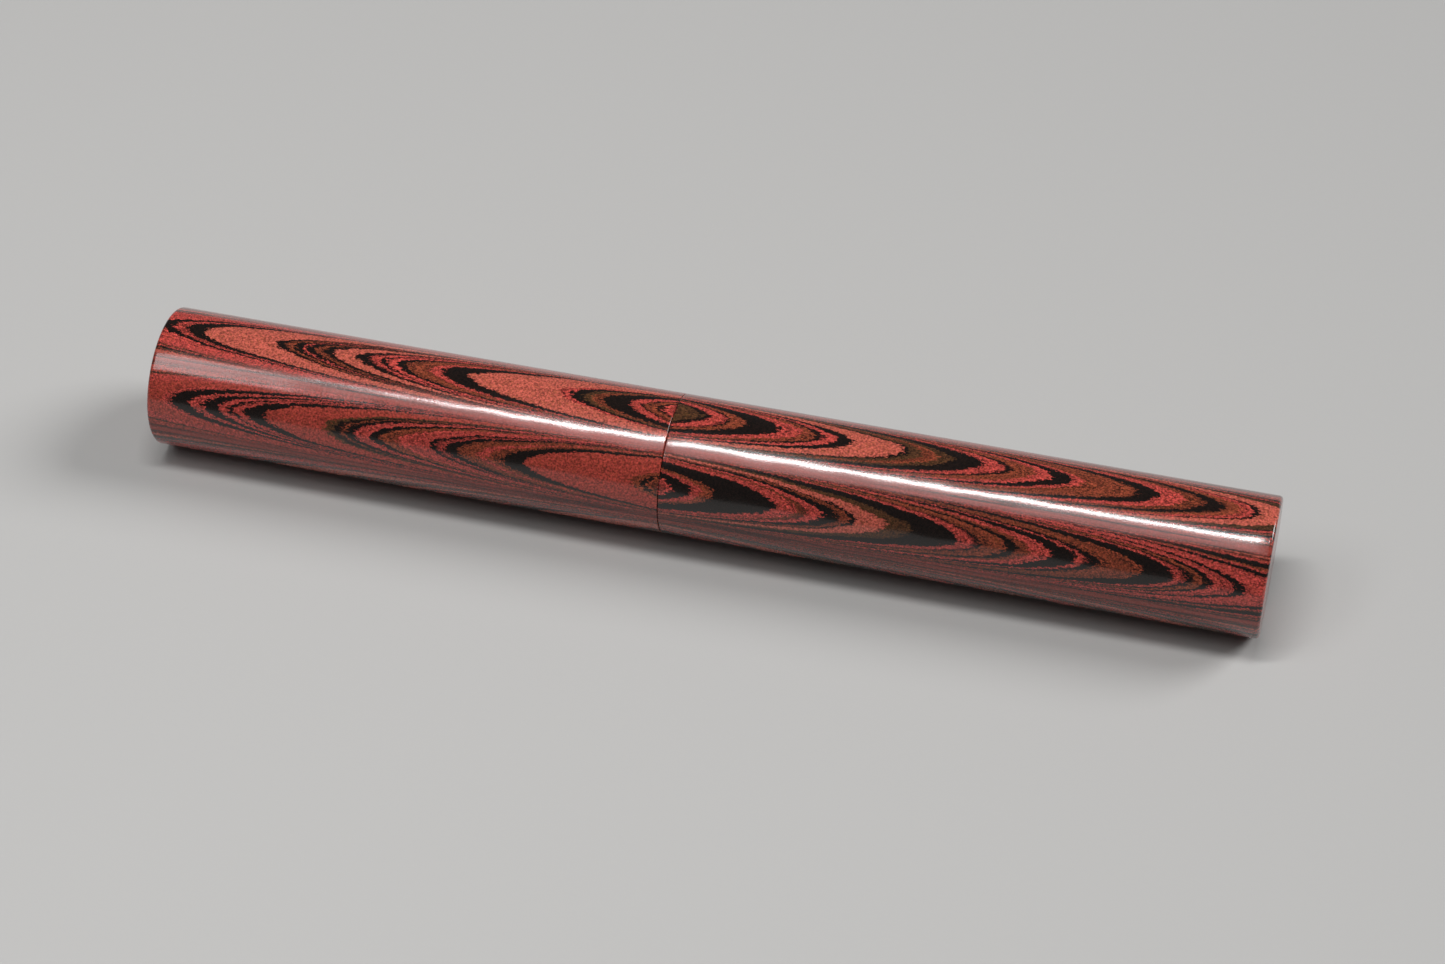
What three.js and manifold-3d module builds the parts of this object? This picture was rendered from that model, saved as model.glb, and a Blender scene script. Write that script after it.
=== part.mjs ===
// Capped dip pen holder: a turned hard-rubber cap and barrel that meet flush, a grip section that
// screws into the barrel, and a sprung metal ferrule in the grip that holds a steel nib.
//
// Millimetres. The finished group lies on the plane Z = 0 with +Z up. +X runs from the cap's closed
// end to the barrel's closed end, and the origin is under the middle of the closed pen.
// Every piece is drawn in the pen's own frame, where +X points forward along the centre line, out of
// the grip to the nib's point, and X = 0 is the flush joint between cap and barrel.
import * as THREE from "three";
import { mergeVertices } from "three/addons/utils/BufferGeometryUtils.js";
import Module from "manifold-3d";

const wasm = await Module();
wasm.setup();

// Driving dimensions.
const OVERALL_LENGTH = 132;
const BODY_RADIUS = 8.25;
const CAP_LENGTH = 62.2;
const BARREL_LENGTH = OVERALL_LENGTH - CAP_LENGTH;
const SEAM_GAP = 0.06; // between the cap's rim and the barrel's rim
const END_EDGE = 0.45; // rounding of the two closed ends
const RIM_EDGE = 0.12; // rounding of the two rims at the joint

const CAP_END_WALL = 3.5;
const CAP_MOUTH_RADIUS = 6.8; // the bore that slides over the collar
const CAP_MOUTH_DEPTH = 9.5;
const CAP_BORE_RADIUS = 6.0;

const BARREL_END_WALL = 4;
const BARREL_BORE_RADIUS = 4.85;
const SEAL_SEAT_RADIUS = 6.05;
const SEAL_SEAT_DEPTH = 1.1;

const COLLAR_RADIUS = 6.7;
const COLLAR_LENGTH = 8;
const GRIP_GROOVE = { from: 3.4, to: 5.0, radius: 5.45 };
const GRIP_FRONT = 27;
const TENON_LENGTH = 8;
const TENON_RELIEF_RADIUS = 4.85;
const TENON_CORE_RADIUS = 4.6;
const FERRULE_BORE = { radius: 3.75, rear: 14.2, drillTip: 2.2 };

// Two-start thread. In a cross-section each ridge spans an angle, because a turn is one lead.
const THREAD_STARTS = 2;
const THREAD_LEAD = 2.5;
const THREAD_SIDES = 18;
const THREAD_ROOT_RADIUS = 4.9;
const THREAD_CREST_RADIUS = 5.5;
const THREAD_ROOT_HALF_ANGLE = 54;
const THREAD_CREST_HALF_ANGLE = 24;
const THREAD_CLEARANCE = 0.14;
const THREAD_CLEARANCE_ANGLE = 12;
const THREAD_OVERLAP = 0.3; // how far the plain tenon reaches into the threaded rod
const TAPPED_LENGTH = 9;
const THREAD_RELIEF = 1.3; // plain length behind the flange, where the seal ring sits

const SEAL_RING = { radius: 5.45, cord: 0.475, along: -0.55 };
const CAP_RING = { radius: 6.125, cord: 0.6, along: 4.2 };

const SLEEVE = { radius: 3.7, wall: 0.3, rear: 14.5, rimRadius: 4.1, rimThickness: 0.45 };
const CLAW_BASE = { radius: 3.35, bore: 2.3, rear: 14.7, front: 15.9 };
const CLAW_TIP = 26.2;
const CLAW_WALL = 0.3;
const CLAW_SLOT = 1.1;

const NIB_REAR = 16.2;
const NIB_TIP = 46.5;
const NIB_SHOULDER = 29.5;
const NIB_THICKNESS = 0.24;
const NIB_CROWN = 3.18; // height of the sheet's middle above the centre line, along the shank
const NIB_ARCH_RADIUS = 3.18;
const NIB_TIP_ARCH_RADIUS = 1.9;
const NIB_TIP_DROP = 2.3;
const NIB_HALF_WIDTH = 4.4; // measured round the sheet
const NIB_TIP_HALF_WIDTH = 0.16;
const NIB_REAR_CORNER = 1.6;
const VENT = { along: 34.6, radius: 0.62 };
const SLIT_HALF_WIDTH = 0.04;
const SIDE_SLIT = { from: 36.2, length: 3.4, width: 0.3, inset: 1.35 };

const BODY_SEGMENTS = 64;
const INNER_SEGMENTS = 40;
const CLAW_SEGMENTS = 32;

// The pen rests on one flat of its faceted outside.
const AXIS_HEIGHT = BODY_RADIUS * Math.cos(Math.PI / BODY_SEGMENTS);

const radians = THREE.MathUtils.degToRad;
const { clamp, lerp, smoothstep } = THREE.MathUtils;

// ---------------------------------------------------------------- shapes

// A body of revolution about X from [along, radius] points. The outer wall runs towards +X.
function turned(outline, segments = INNER_SEGMENTS) {
  const points = outline.map(([along, radius]) => new THREE.Vector2(radius, along));
  const geometry = new THREE.LatheGeometry(points, segments, Math.PI / segments);
  return geometry.rotateZ(-Math.PI / 2);
}

// Points of a quarter-round edge, from the angle `from` to `to` in degrees about [along, radius].
function roundEdge([along, radius], edge, from, to, steps = 3) {
  return Array.from({ length: steps + 1 }, (_, i) => {
    const angle = radians(lerp(from, to, i / steps));
    return [along + edge * Math.cos(angle), radius + edge * Math.sin(angle)];
  });
}

function ring({ radius, cord, along }) {
  const geometry = new THREE.TorusGeometry(radius, cord, 10, INNER_SEGMENTS);
  return geometry.rotateY(Math.PI / 2).translate(along, 0, 0);
}

// Radius of the thread at a phase in degrees: flat-topped ridges on a plain core.
function threadRadius(phase, groove) {
  const pitchAngle = 360 / THREAD_STARTS;
  const fromRidge = Math.abs(THREE.MathUtils.euclideanModulo(phase, pitchAngle) - pitchAngle / 2);
  const widening = groove ? THREAD_CLEARANCE_ANGLE : 0;
  const footAngle = THREAD_ROOT_HALF_ANGLE + widening;
  const crestAngle = THREAD_CREST_HALF_ANGLE + widening;
  const rise = clamp((footAngle - fromRidge) / (footAngle - crestAngle), 0, 1);
  const radius = lerp(THREAD_ROOT_RADIUS, THREAD_CREST_RADIUS, rise);
  return groove ? radius + THREAD_CLEARANCE : radius;
}

// A right-handed threaded rod on X; `groove` widens it to the tap that cuts the matching thread.
function threadedRod(rear, front, groove = false) {
  const steps = Math.round((THREAD_SIDES * (front - rear)) / THREAD_LEAD);
  const geometry = new THREE.CylinderGeometry(1, 1, front - rear, THREAD_SIDES, steps);
  geometry.rotateZ(-Math.PI / 2).translate((rear + front) / 2, 0, 0);
  const position = geometry.getAttribute("position");
  for (let i = 0; i < position.count; i += 1) {
    const [x, y, z] = [position.getX(i), position.getY(i), position.getZ(i)];
    const angle = THREE.MathUtils.radToDeg(Math.atan2(z, y));
    const radius = threadRadius(angle - (360 * x) / THREAD_LEAD, groove);
    position.setXYZ(i, x, y * radius, z * radius);
  }
  return geometry;
}

// ---------------------------------------------------------------- solids

function solid(geometry) {
  const bare = geometry.clone();
  bare.deleteAttribute("normal");
  bare.deleteAttribute("uv");
  const merged = mergeVertices(bare, 1e-4);
  return new wasm.Manifold(
    new wasm.Mesh({
      numProp: 3,
      vertProperties: merged.getAttribute("position").array,
      triVerts: new Uint32Array(merged.index.array),
    }),
  );
}

function geometryOf(manifold) {
  const mesh = manifold.getMesh();
  return new THREE.BufferGeometry()
    .setAttribute("position", new THREE.BufferAttribute(mesh.vertProperties, 3))
    .setIndex(new THREE.BufferAttribute(mesh.triVerts, 1));
}

// ---------------------------------------------------------------- pieces

function capShell() {
  const boreEnd = CAP_LENGTH - CAP_END_WALL;
  return turned(
    [
      [boreEnd, 0],
      [boreEnd - 0.6, CAP_BORE_RADIUS - 0.4],
      [boreEnd - 1.2, CAP_BORE_RADIUS],
      [CAP_MOUTH_DEPTH + 0.8, CAP_BORE_RADIUS],
      [CAP_MOUTH_DEPTH, CAP_MOUTH_RADIUS],
      [SEAM_GAP + RIM_EDGE, CAP_MOUTH_RADIUS],
      [SEAM_GAP, CAP_MOUTH_RADIUS + RIM_EDGE],
      ...roundEdge([SEAM_GAP + RIM_EDGE, BODY_RADIUS - RIM_EDGE], RIM_EDGE, 180, 90),
      ...roundEdge([CAP_LENGTH - END_EDGE, BODY_RADIUS - END_EDGE], END_EDGE, 90, 0),
      [CAP_LENGTH, 0],
    ],
    BODY_SEGMENTS,
  );
}

function barrelShell() {
  const boreEnd = BARREL_END_WALL - BARREL_LENGTH;
  const blank = turned(
    [
      [-BARREL_LENGTH, 0],
      ...roundEdge([END_EDGE - BARREL_LENGTH, BODY_RADIUS - END_EDGE], END_EDGE, 180, 90),
      ...roundEdge([-RIM_EDGE, BODY_RADIUS - RIM_EDGE], RIM_EDGE, 90, 0),
      [0, SEAL_SEAT_RADIUS],
      [-SEAL_SEAT_DEPTH, SEAL_SEAT_RADIUS],
      [-SEAL_SEAT_DEPTH, BARREL_BORE_RADIUS],
      [boreEnd + 2.4, BARREL_BORE_RADIUS],
      [boreEnd, 0],
    ],
    BODY_SEGMENTS,
  );
  const tap = threadedRod(-TAPPED_LENGTH, 0.5, true);
  return geometryOf(solid(blank).subtract(solid(tap)));
}

function gripSection() {
  const { radius: bore, rear: boreRear, drillTip } = FERRULE_BORE;
  const waist = new THREE.SplineCurve(
    [
      [9.2, 5.5],
      [13, 5.15],
      [18, 4.75],
      [22, 4.72],
      [25.2, 5.1],
    ].map(([along, radius]) => new THREE.Vector2(along, radius)),
  );
  const blank = turned([
    [THREAD_OVERLAP - TENON_LENGTH, 0],
    [THREAD_OVERLAP - TENON_LENGTH, TENON_CORE_RADIUS],
    [-THREAD_RELIEF - THREAD_OVERLAP, TENON_CORE_RADIUS],
    [-THREAD_RELIEF - THREAD_OVERLAP, TENON_RELIEF_RADIUS],
    [0.05, TENON_RELIEF_RADIUS],
    [0.05, COLLAR_RADIUS - 0.15],
    [0.2, COLLAR_RADIUS],
    [GRIP_GROOVE.from, COLLAR_RADIUS],
    [GRIP_GROOVE.from, GRIP_GROOVE.radius],
    [GRIP_GROOVE.to, GRIP_GROOVE.radius],
    [GRIP_GROOVE.to, COLLAR_RADIUS],
    [COLLAR_LENGTH - 0.5, COLLAR_RADIUS],
    [COLLAR_LENGTH, COLLAR_RADIUS - 0.5],
    ...waist.getPoints(9).map((point) => [point.x, point.y]),
    ...roundEdge([GRIP_FRONT - 0.7, 4.6], 0.7, 70, 0),
    [GRIP_FRONT, bore],
    [boreRear, bore],
    [boreRear - drillTip, 0],
  ]);
  const tenonThread = threadedRod(-TENON_LENGTH, -THREAD_RELIEF);
  // A stock with a tapered end leaves the thread a lead-in.
  const stock = turned([
    [-TENON_LENGTH - 0.3, 0],
    [-TENON_LENGTH - 0.3, THREAD_ROOT_RADIUS - 0.3],
    [-TENON_LENGTH + 0.6, THREAD_CREST_RADIUS + 0.1],
    [0, THREAD_CREST_RADIUS + 0.1],
    [0, 0],
  ]);
  return geometryOf(solid(blank).add(solid(tenonThread).intersect(solid(stock))));
}

function ferruleSleeve() {
  const { radius, wall, rear, rimRadius, rimThickness } = SLEEVE;
  const rimRear = GRIP_FRONT + 0.05;
  const rimFront = rimRear + rimThickness;
  return turned([
    [rear, radius - wall],
    [rear, radius],
    [rimRear, radius],
    [rimRear, rimRadius - 0.15],
    [rimRear + rimThickness / 2, rimRadius],
    [rimFront, rimRadius - 0.15],
    [rimFront, radius - 0.1],
    [rimRear, radius - wall],
    [rear, radius - wall],
  ]);
}

// A base ring with a bowed wall in front of it, slotted into four leaves.
function ferruleClaws() {
  const { radius, bore, rear, front } = CLAW_BASE;
  const bow = new THREE.SplineCurve(
    [
      [front + 0.4, 2.7],
      [18.5, 2.86],
      [21.5, 2.95],
      [24.2, 2.85],
      [CLAW_TIP, 2.5],
    ].map(([along, outer]) => new THREE.Vector2(along, outer)),
  ).getPoints(7);
  const outside = bow.map((point) => [point.x, point.y]);
  const inside = bow.map((point) => [point.x, point.y - CLAW_WALL]).reverse();
  const crown = turned(
    [
      [rear, bore],
      [rear, radius],
      [front, radius],
      ...outside,
      ...inside,
      [front, bore],
      [rear, bore],
    ],
    CLAW_SEGMENTS,
  );
  const slot = new THREE.BoxGeometry(CLAW_TIP - front, CLAW_SLOT, 2 * radius);
  slot.translate((CLAW_TIP + front) / 2 + 0.6, 0, 0);
  const quarter = Math.PI / 4;
  return geometryOf(
    solid(crown)
      .subtract(solid(slot.clone().rotateX(quarter)))
      .subtract(solid(slot.clone().rotateX(-quarter))),
  );
}

// Half the width of the nib's sheet, measured round its arch.
function nibHalfWidth(along) {
  if (along < NIB_REAR + NIB_REAR_CORNER) {
    const corner = Math.min(1, (NIB_REAR + NIB_REAR_CORNER - along) / NIB_REAR_CORNER);
    return NIB_HALF_WIDTH - NIB_REAR_CORNER * (1 - Math.sqrt(1 - corner ** 2));
  }
  const taper = clamp((along - NIB_SHOULDER) / (NIB_TIP - NIB_SHOULDER), 0, 1);
  return lerp(NIB_TIP_HALF_WIDTH, NIB_HALF_WIDTH, (1 - taper ** 1.7) ** 1.35);
}

// Half the gap on the nib's centre line: none, then the round vent, then the slit to the point.
function nibHalfGap(along) {
  const fromVent = along - VENT.along;
  if (fromVent <= -VENT.radius) return 0;
  const round = Math.sqrt(Math.max(0, VENT.radius ** 2 - fromVent ** 2));
  return fromVent > 0 ? Math.max(round, SLIT_HALF_WIDTH) : round;
}

// A point on the nib's arched sheet, `across` millimetres round from its crown.
function nibPoint(along, across, lift) {
  const forward = smoothstep(along, GRIP_FRONT, NIB_TIP);
  const arch = lerp(NIB_ARCH_RADIUS, NIB_TIP_ARCH_RADIUS, forward);
  const drop = NIB_TIP_DROP * Math.max(0, (along - NIB_SHOULDER) / (NIB_TIP - NIB_SHOULDER)) ** 2;
  const angle = across / arch;
  const radius = arch + lift;
  return [along, radius * Math.sin(angle), NIB_CROWN - drop - arch + radius * Math.cos(angle)];
}

function nibStations() {
  const plain = Array.from({ length: 25 }, (_, i) => lerp(NIB_REAR, NIB_TIP, i / 24));
  const corner = [0.25, 0.8].map((step) => NIB_REAR + step);
  const vent = Array.from({ length: 9 }, (_, i) => {
    return VENT.along - VENT.radius * Math.cos((Math.PI * i) / 8);
  });
  const clear = plain.filter((along) => Math.abs(along - VENT.along) > VENT.radius + 0.2);
  return [...clear, ...corner, ...vent].sort((a, b) => a - b);
}

// The nib as a closed sheet: a grid of cells on each side of the centre line, with edge walls.
function nibSheet() {
  const stations = nibStations();
  const columns = 5;
  const positions = [];
  const corner = (side, i, j, lift) => {
    const along = stations[i];
    const across = lerp(nibHalfGap(along), nibHalfWidth(along), j / columns);
    return nibPoint(along, side * across, lift);
  };
  const quad = (side, a, b, c, d) => {
    const face = side > 0 ? [a, b, c, a, c, d] : [a, c, b, a, d, c];
    positions.push(...face.flat());
  };
  const top = NIB_THICKNESS / 2;
  const last = stations.length - 1;
  for (const side of [-1, 1]) {
    const at = (i, j, lift) => corner(side, i, j, lift);
    for (let i = 0; i < last; i += 1) {
      for (let j = 0; j < columns; j += 1) {
        quad(side, at(i, j, top), at(i + 1, j, top), at(i + 1, j + 1, top), at(i, j + 1, top));
        quad(side, at(i, j, -top), at(i, j + 1, -top), at(i + 1, j + 1, -top), at(i + 1, j, -top));
      }
      const edge = columns;
      quad(side, at(i, edge, top), at(i + 1, edge, top), at(i + 1, edge, -top), at(i, edge, -top));
      if (nibHalfGap(stations[i]) > 0 || nibHalfGap(stations[i + 1]) > 0) {
        quad(side, at(i, 0, top), at(i, 0, -top), at(i + 1, 0, -top), at(i + 1, 0, top));
      }
    }
    for (let j = 0; j < columns; j += 1) {
      quad(side, at(0, j, top), at(0, j + 1, top), at(0, j + 1, -top), at(0, j, -top));
      quad(side, at(last, j, top), at(last, j, -top), at(last, j + 1, -top), at(last, j + 1, top));
    }
  }
  return new THREE.BufferGeometry().setAttribute(
    "position",
    new THREE.Float32BufferAttribute(positions, 3),
  );
}

function nib() {
  const { from, length, width, inset } = SIDE_SLIT;
  let cut = solid(nibSheet());
  for (const side of [-1, 1]) {
    const slit = new THREE.BoxGeometry(length, width, 2 * NIB_CROWN);
    slit.rotateZ(side * radians(-11));
    slit.translate(from + length / 2, side * inset, NIB_CROWN);
    cut = cut.subtract(solid(slit));
  }
  return geometryOf(cut);
}

// ---------------------------------------------------------------- the assembled pen

const ripple = { color: 0x8a3530, roughness: 0.18, metalness: 0 };
const black = { color: 0x14120f, roughness: 0.22, metalness: 0 };
const rubber = { color: 0x0d0d0d, roughness: 0.6, metalness: 0 };
const brass = { color: 0xb9924a, roughness: 0.3, metalness: 1 };
const spring = { color: 0x9a9ca0, roughness: 0.35, metalness: 1 };
const steel = { color: 0x8d8a85, roughness: 0.28, metalness: 1 };

const pieces = [
  ["barrel_shell", barrelShell(), ripple],
  ["section_seal_ring", ring(SEAL_RING), rubber],
  ["grip_section", gripSection(), black],
  ["ferrule_sleeve", ferruleSleeve(), brass],
  ["ferrule_claws", ferruleClaws(), spring],
  ["nib", nib(), steel],
  ["cap_friction_ring", ring(CAP_RING), rubber],
  ["cap_shell", capShell(), ripple],
];

const pen = new THREE.Group();
for (const [name, geometry, look] of pieces) {
  const mesh = new THREE.Mesh(geometry, new THREE.MeshStandardMaterial(look));
  mesh.name = name;
  pen.add(mesh);
}
pen.rotation.z = Math.PI;
pen.position.set(CAP_LENGTH - OVERALL_LENGTH / 2, 0, AXIS_HEIGHT);

const part = new THREE.Group();
part.add(pen);

export default part;
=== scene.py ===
"""A capped dip pen in rippled hard rubber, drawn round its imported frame.

Metres. The pen lies on the floor with +X from the cap's closed end to the barrel's closed end.
Shapes are given in the pen's own terms: `along` runs from the joint between cap and barrel
towards the nib's point, and a radius or an angle is taken round the pen's centre line.
"""

import math

import bmesh
import bpy
from mathutils import Matrix, Vector


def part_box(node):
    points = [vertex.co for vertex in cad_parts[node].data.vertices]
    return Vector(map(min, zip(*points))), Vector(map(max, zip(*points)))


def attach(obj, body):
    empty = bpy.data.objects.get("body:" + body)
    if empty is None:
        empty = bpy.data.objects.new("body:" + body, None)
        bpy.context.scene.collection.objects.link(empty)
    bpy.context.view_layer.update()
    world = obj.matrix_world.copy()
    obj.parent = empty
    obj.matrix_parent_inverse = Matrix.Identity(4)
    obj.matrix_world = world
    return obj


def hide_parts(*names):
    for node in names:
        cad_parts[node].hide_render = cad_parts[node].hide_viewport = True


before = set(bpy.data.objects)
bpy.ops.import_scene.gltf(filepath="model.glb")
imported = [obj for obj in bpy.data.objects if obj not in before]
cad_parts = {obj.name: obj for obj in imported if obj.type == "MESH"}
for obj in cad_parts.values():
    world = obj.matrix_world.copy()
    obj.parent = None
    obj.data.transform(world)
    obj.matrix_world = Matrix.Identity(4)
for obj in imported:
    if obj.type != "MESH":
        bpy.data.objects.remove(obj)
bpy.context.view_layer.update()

bl_info = {
    "name": "Rippled dip pen",
    "version": (1, 0, 0),
    "blender": (4, 5, 0),
    "location": "3D View > Sidebar > Dip pen",
    "description": "Builds a capped dip pen in rippled hard rubber, and the stage that it lies on",
    "category": "Add Mesh",
}

MM = 0.001

# ---------------------------------------------------------------- sizes from the frame

BARREL_LOW, BARREL_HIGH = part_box("barrel_shell")
CAP_LOW, CAP_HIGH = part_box("cap_shell")
GRIP_LOW, GRIP_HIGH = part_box("grip_section")
SLEEVE_LOW, SLEEVE_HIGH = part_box("ferrule_sleeve")
CLAWS_LOW, CLAWS_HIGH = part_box("ferrule_claws")
NIB_LOW, NIB_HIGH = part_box("nib")

JOINT_X = BARREL_LOW.x
AXIS_HEIGHT = (BARREL_LOW.z + BARREL_HIGH.z) / 2
BODY_RADIUS = (BARREL_HIGH.z - BARREL_LOW.z) / 2
BARREL_LENGTH = BARREL_HIGH.x - JOINT_X
CAP_LENGTH = JOINT_X - CAP_LOW.x
SEAM_GAP = JOINT_X - CAP_HIGH.x
GRIP_FRONT = JOINT_X - GRIP_LOW.x
TENON_LENGTH = GRIP_HIGH.x - JOINT_X
COLLAR_RADIUS = (GRIP_HIGH.z - GRIP_LOW.z) / 2
SLEEVE_REAR = JOINT_X - SLEEVE_HIGH.x
SLEEVE_FRONT = JOINT_X - SLEEVE_LOW.x
CLAWS_REAR = JOINT_X - CLAWS_HIGH.x
CLAWS_TIP = JOINT_X - CLAWS_LOW.x
NIB_REAR = JOINT_X - NIB_HIGH.x
NIB_POINT = JOINT_X - NIB_LOW.x

# ---------------------------------------------------------------- sizes of the hidden shapes

BARREL_BORE = 4.85 * MM
BARREL_END_WALL = 4 * MM
SEAL_SEAT_RADIUS = 6.05 * MM
SEAL_SEAT_DEPTH = 1.1 * MM
TAPPED_LENGTH = 9 * MM

COLLAR_LENGTH = 8 * MM
GROOVE_REAR = 3.4 * MM
GROOVE_FRONT = 5 * MM
GROOVE_RADIUS = 5.45 * MM
FLANGE_GAP = 0.05 * MM
RELIEF_LENGTH = 1.3 * MM
RELIEF_RADIUS = 4.85 * MM
FERRULE_BORE = 3.75 * MM
FERRULE_BORE_REAR = 14.2 * MM
DRILL_POINT = 2.2 * MM

THREAD_LEAD = 2.5 * MM
THREAD_STARTS = 2
THREAD_ROOT = 4.9 * MM
THREAD_DEPTH = 0.6 * MM
THREAD_CLEARANCE = 0.14 * MM
THREAD_ROW = 0.05 * MM
RIDGE_FOOT = 54.0  # degrees of a turn from a ridge's middle to its foot
RIDGE_CREST = 24.0
GROOVE_WIDENING = 12.0

SLEEVE_RADIUS = 3.7 * MM
SLEEVE_WALL = 0.3 * MM
SLEEVE_RIM = 4.1 * MM
SLEEVE_RIM_THICKNESS = 0.45 * MM

NIB_SHEET = 0.24 * MM
NIB_SHOULDER = 29.5 * MM
NIB_ARCH = 3.18 * MM
NIB_POINT_ARCH = 1.9 * MM
NIB_DROP = 2.3 * MM
NIB_HALF_WIDTH = 4.4 * MM
NIB_POINT_HALF_WIDTH = 0.16 * MM
NIB_CORNER = 1.6 * MM
VENT_ALONG = 34.6 * MM
VENT_RADIUS = 0.62 * MM
SLIT_HALF_WIDTH = 0.035 * MM
SIDE_SLIT_REAR = 36.2 * MM
SIDE_SLIT_FRONT = 39.6 * MM

SHELL_SIDES = 256
INNER_SIDES = 160
LONGEST_SPAN = 2 * MM

SHARP_ANGLE = 32.0  # degrees between two faces that meet in a sharp edge

# ---------------------------------------------------------------- layers of the hard rubber

# Distances are millimetres from the joint to where each layer begins at the tip of its tongue,
# once along the tongues on top of the pen and once along those on its front. They repeat after
# LAYER_PERIOD.
LAYER_PERIOD = 72.0

# How strongly thin dark laminations show in each kind of layer, from 0 to 1.
LAMINATION = {
    "coral": 0.2,
    "rose": 0.2,
    "red": 0.85,
    "brown": 0.9,
    "olive": 0.7,
    "black": 0.2,
}
CAP_TOP_LAYERS = [
    (0.0, "red"), (1.2, "black"), (1.8, "brown"), (3.3, "black"), (3.9, "red"), (5.6, "black"),
    (9.0, "brown"), (10.0, "olive"), (11.2, "black"), (12.4, "red"), (13.6, "coral"),
    (24.4, "black"), (27.6, "red"), (29.2, "brown"), (32.0, "black"), (33.4, "red"),
    (34.4, "black"), (35.2, "red"), (36.7, "black"), (38.0, "coral"), (41.2, "black"),
    (42.6, "brown"), (43.4, "black"), (44.5, "red"), (45.2, "black"), (46.4, "brown"),
    (47.2, "black"), (48.3, "coral"), (56.6, "black"), (59.2, "red"), (60.7, "black"),
    (62.2, "red"),
]
CAP_FRONT_LAYERS = [
    (0.0, "brown"), (1.2, "black"), (2.2, "brown"), (3.2, "rose"), (15.8, "black"),
    (18.7, "brown"), (20.2, "red"), (21.2, "brown"), (23.8, "black"), (25.5, "red"),
    (26.4, "black"), (27.3, "red"), (31.0, "brown"), (32.8, "black"), (34.1, "red"),
    (36.1, "black"), (37.6, "brown"), (38.4, "black"), (39.3, "olive"), (40.3, "rose"),
    (47.4, "black"), (50.0, "red"), (51.1, "black"), (52.0, "red"), (53.0, "black"),
    (54.9, "red"), (56.4, "black"), (59.2, "red"), (60.4, "rose"), (66.0, "red"),
]
BARREL_TOP_LAYERS = [
    (0.0, "olive"), (3.0, "black"), (4.0, "red"), (6.2, "black"), (7.0, "brown"), (8.5, "black"),
    (12.6, "red"), (14.9, "brown"), (16.5, "black"), (17.4, "red"), (19.2, "black"),
    (21.2, "coral"), (26.6, "black"), (27.3, "olive"), (28.8, "brown"), (30.6, "olive"),
    (32.2, "black"), (35.9, "red"), (38.4, "black"), (39.2, "brown"), (42.2, "red"),
    (44.0, "black"), (46.6, "red"), (47.6, "brown"), (53.3, "black"), (56.2, "red"),
    (59.0, "brown"), (61.2, "black"), (63.2, "brown"), (65.0, "red"), (66.8, "black"),
    (67.6, "coral"),
]
BARREL_FRONT_LAYERS = [
    (0.0, "red"), (1.2, "black"), (3.7, "red"), (5.2, "brown"), (6.6, "black"), (13.3, "red"),
    (16.2, "brown"), (17.6, "red"), (19.0, "black"), (21.0, "brown"), (22.1, "black"),
    (23.0, "coral"), (26.4, "olive"), (29.4, "black"), (34.5, "red"), (36.6, "black"),
    (37.3, "brown"), (40.3, "black"), (41.8, "brown"), (43.3, "red"), (45.4, "black"),
    (48.2, "red"), (49.3, "black"), (50.8, "brown"), (55.6, "black"), (59.4, "red"),
    (61.0, "black"), (61.7, "brown"), (63.2, "black"), (64.2, "red"), (66.6, "black"),
    (67.9, "red"),
]


# ---------------------------------------------------------------- settings


class PenSizes(bpy.types.PropertyGroup):
    """Sizes of the pen's edges and bores."""

    end_edge: bpy.props.FloatProperty(
        name="End edge",
        description="Rounding of the two closed ends",
        default=0.45 * MM,
        unit="LENGTH",
        precision=5,
    )
    rim_edge: bpy.props.FloatProperty(
        name="Rim edge",
        description="Rounding of the two rims that meet at the joint",
        default=0.12 * MM,
        unit="LENGTH",
        precision=5,
    )
    cap_bore: bpy.props.FloatProperty(
        name="Cap bore",
        description="Radius of the cap's bore over the nib",
        default=6 * MM,
        unit="LENGTH",
        precision=5,
    )
    cap_mouth: bpy.props.FloatProperty(
        name="Cap mouth",
        description="Radius of the cap's bore over the grip's collar",
        default=6.8 * MM,
        unit="LENGTH",
        precision=5,
    )
    cap_mouth_depth: bpy.props.FloatProperty(
        name="Cap mouth depth",
        description="Length of the wider bore at the cap's mouth",
        default=9.5 * MM,
        unit="LENGTH",
        precision=5,
    )
    cap_end_wall: bpy.props.FloatProperty(
        name="Cap end wall",
        description="Thickness of the cap's closed end",
        default=3.5 * MM,
        unit="LENGTH",
        precision=5,
    )
    grip_waist: bpy.props.FloatProperty(
        name="Grip waist",
        description="Smallest radius of the grip",
        default=4.7 * MM,
        unit="LENGTH",
        precision=5,
    )


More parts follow.
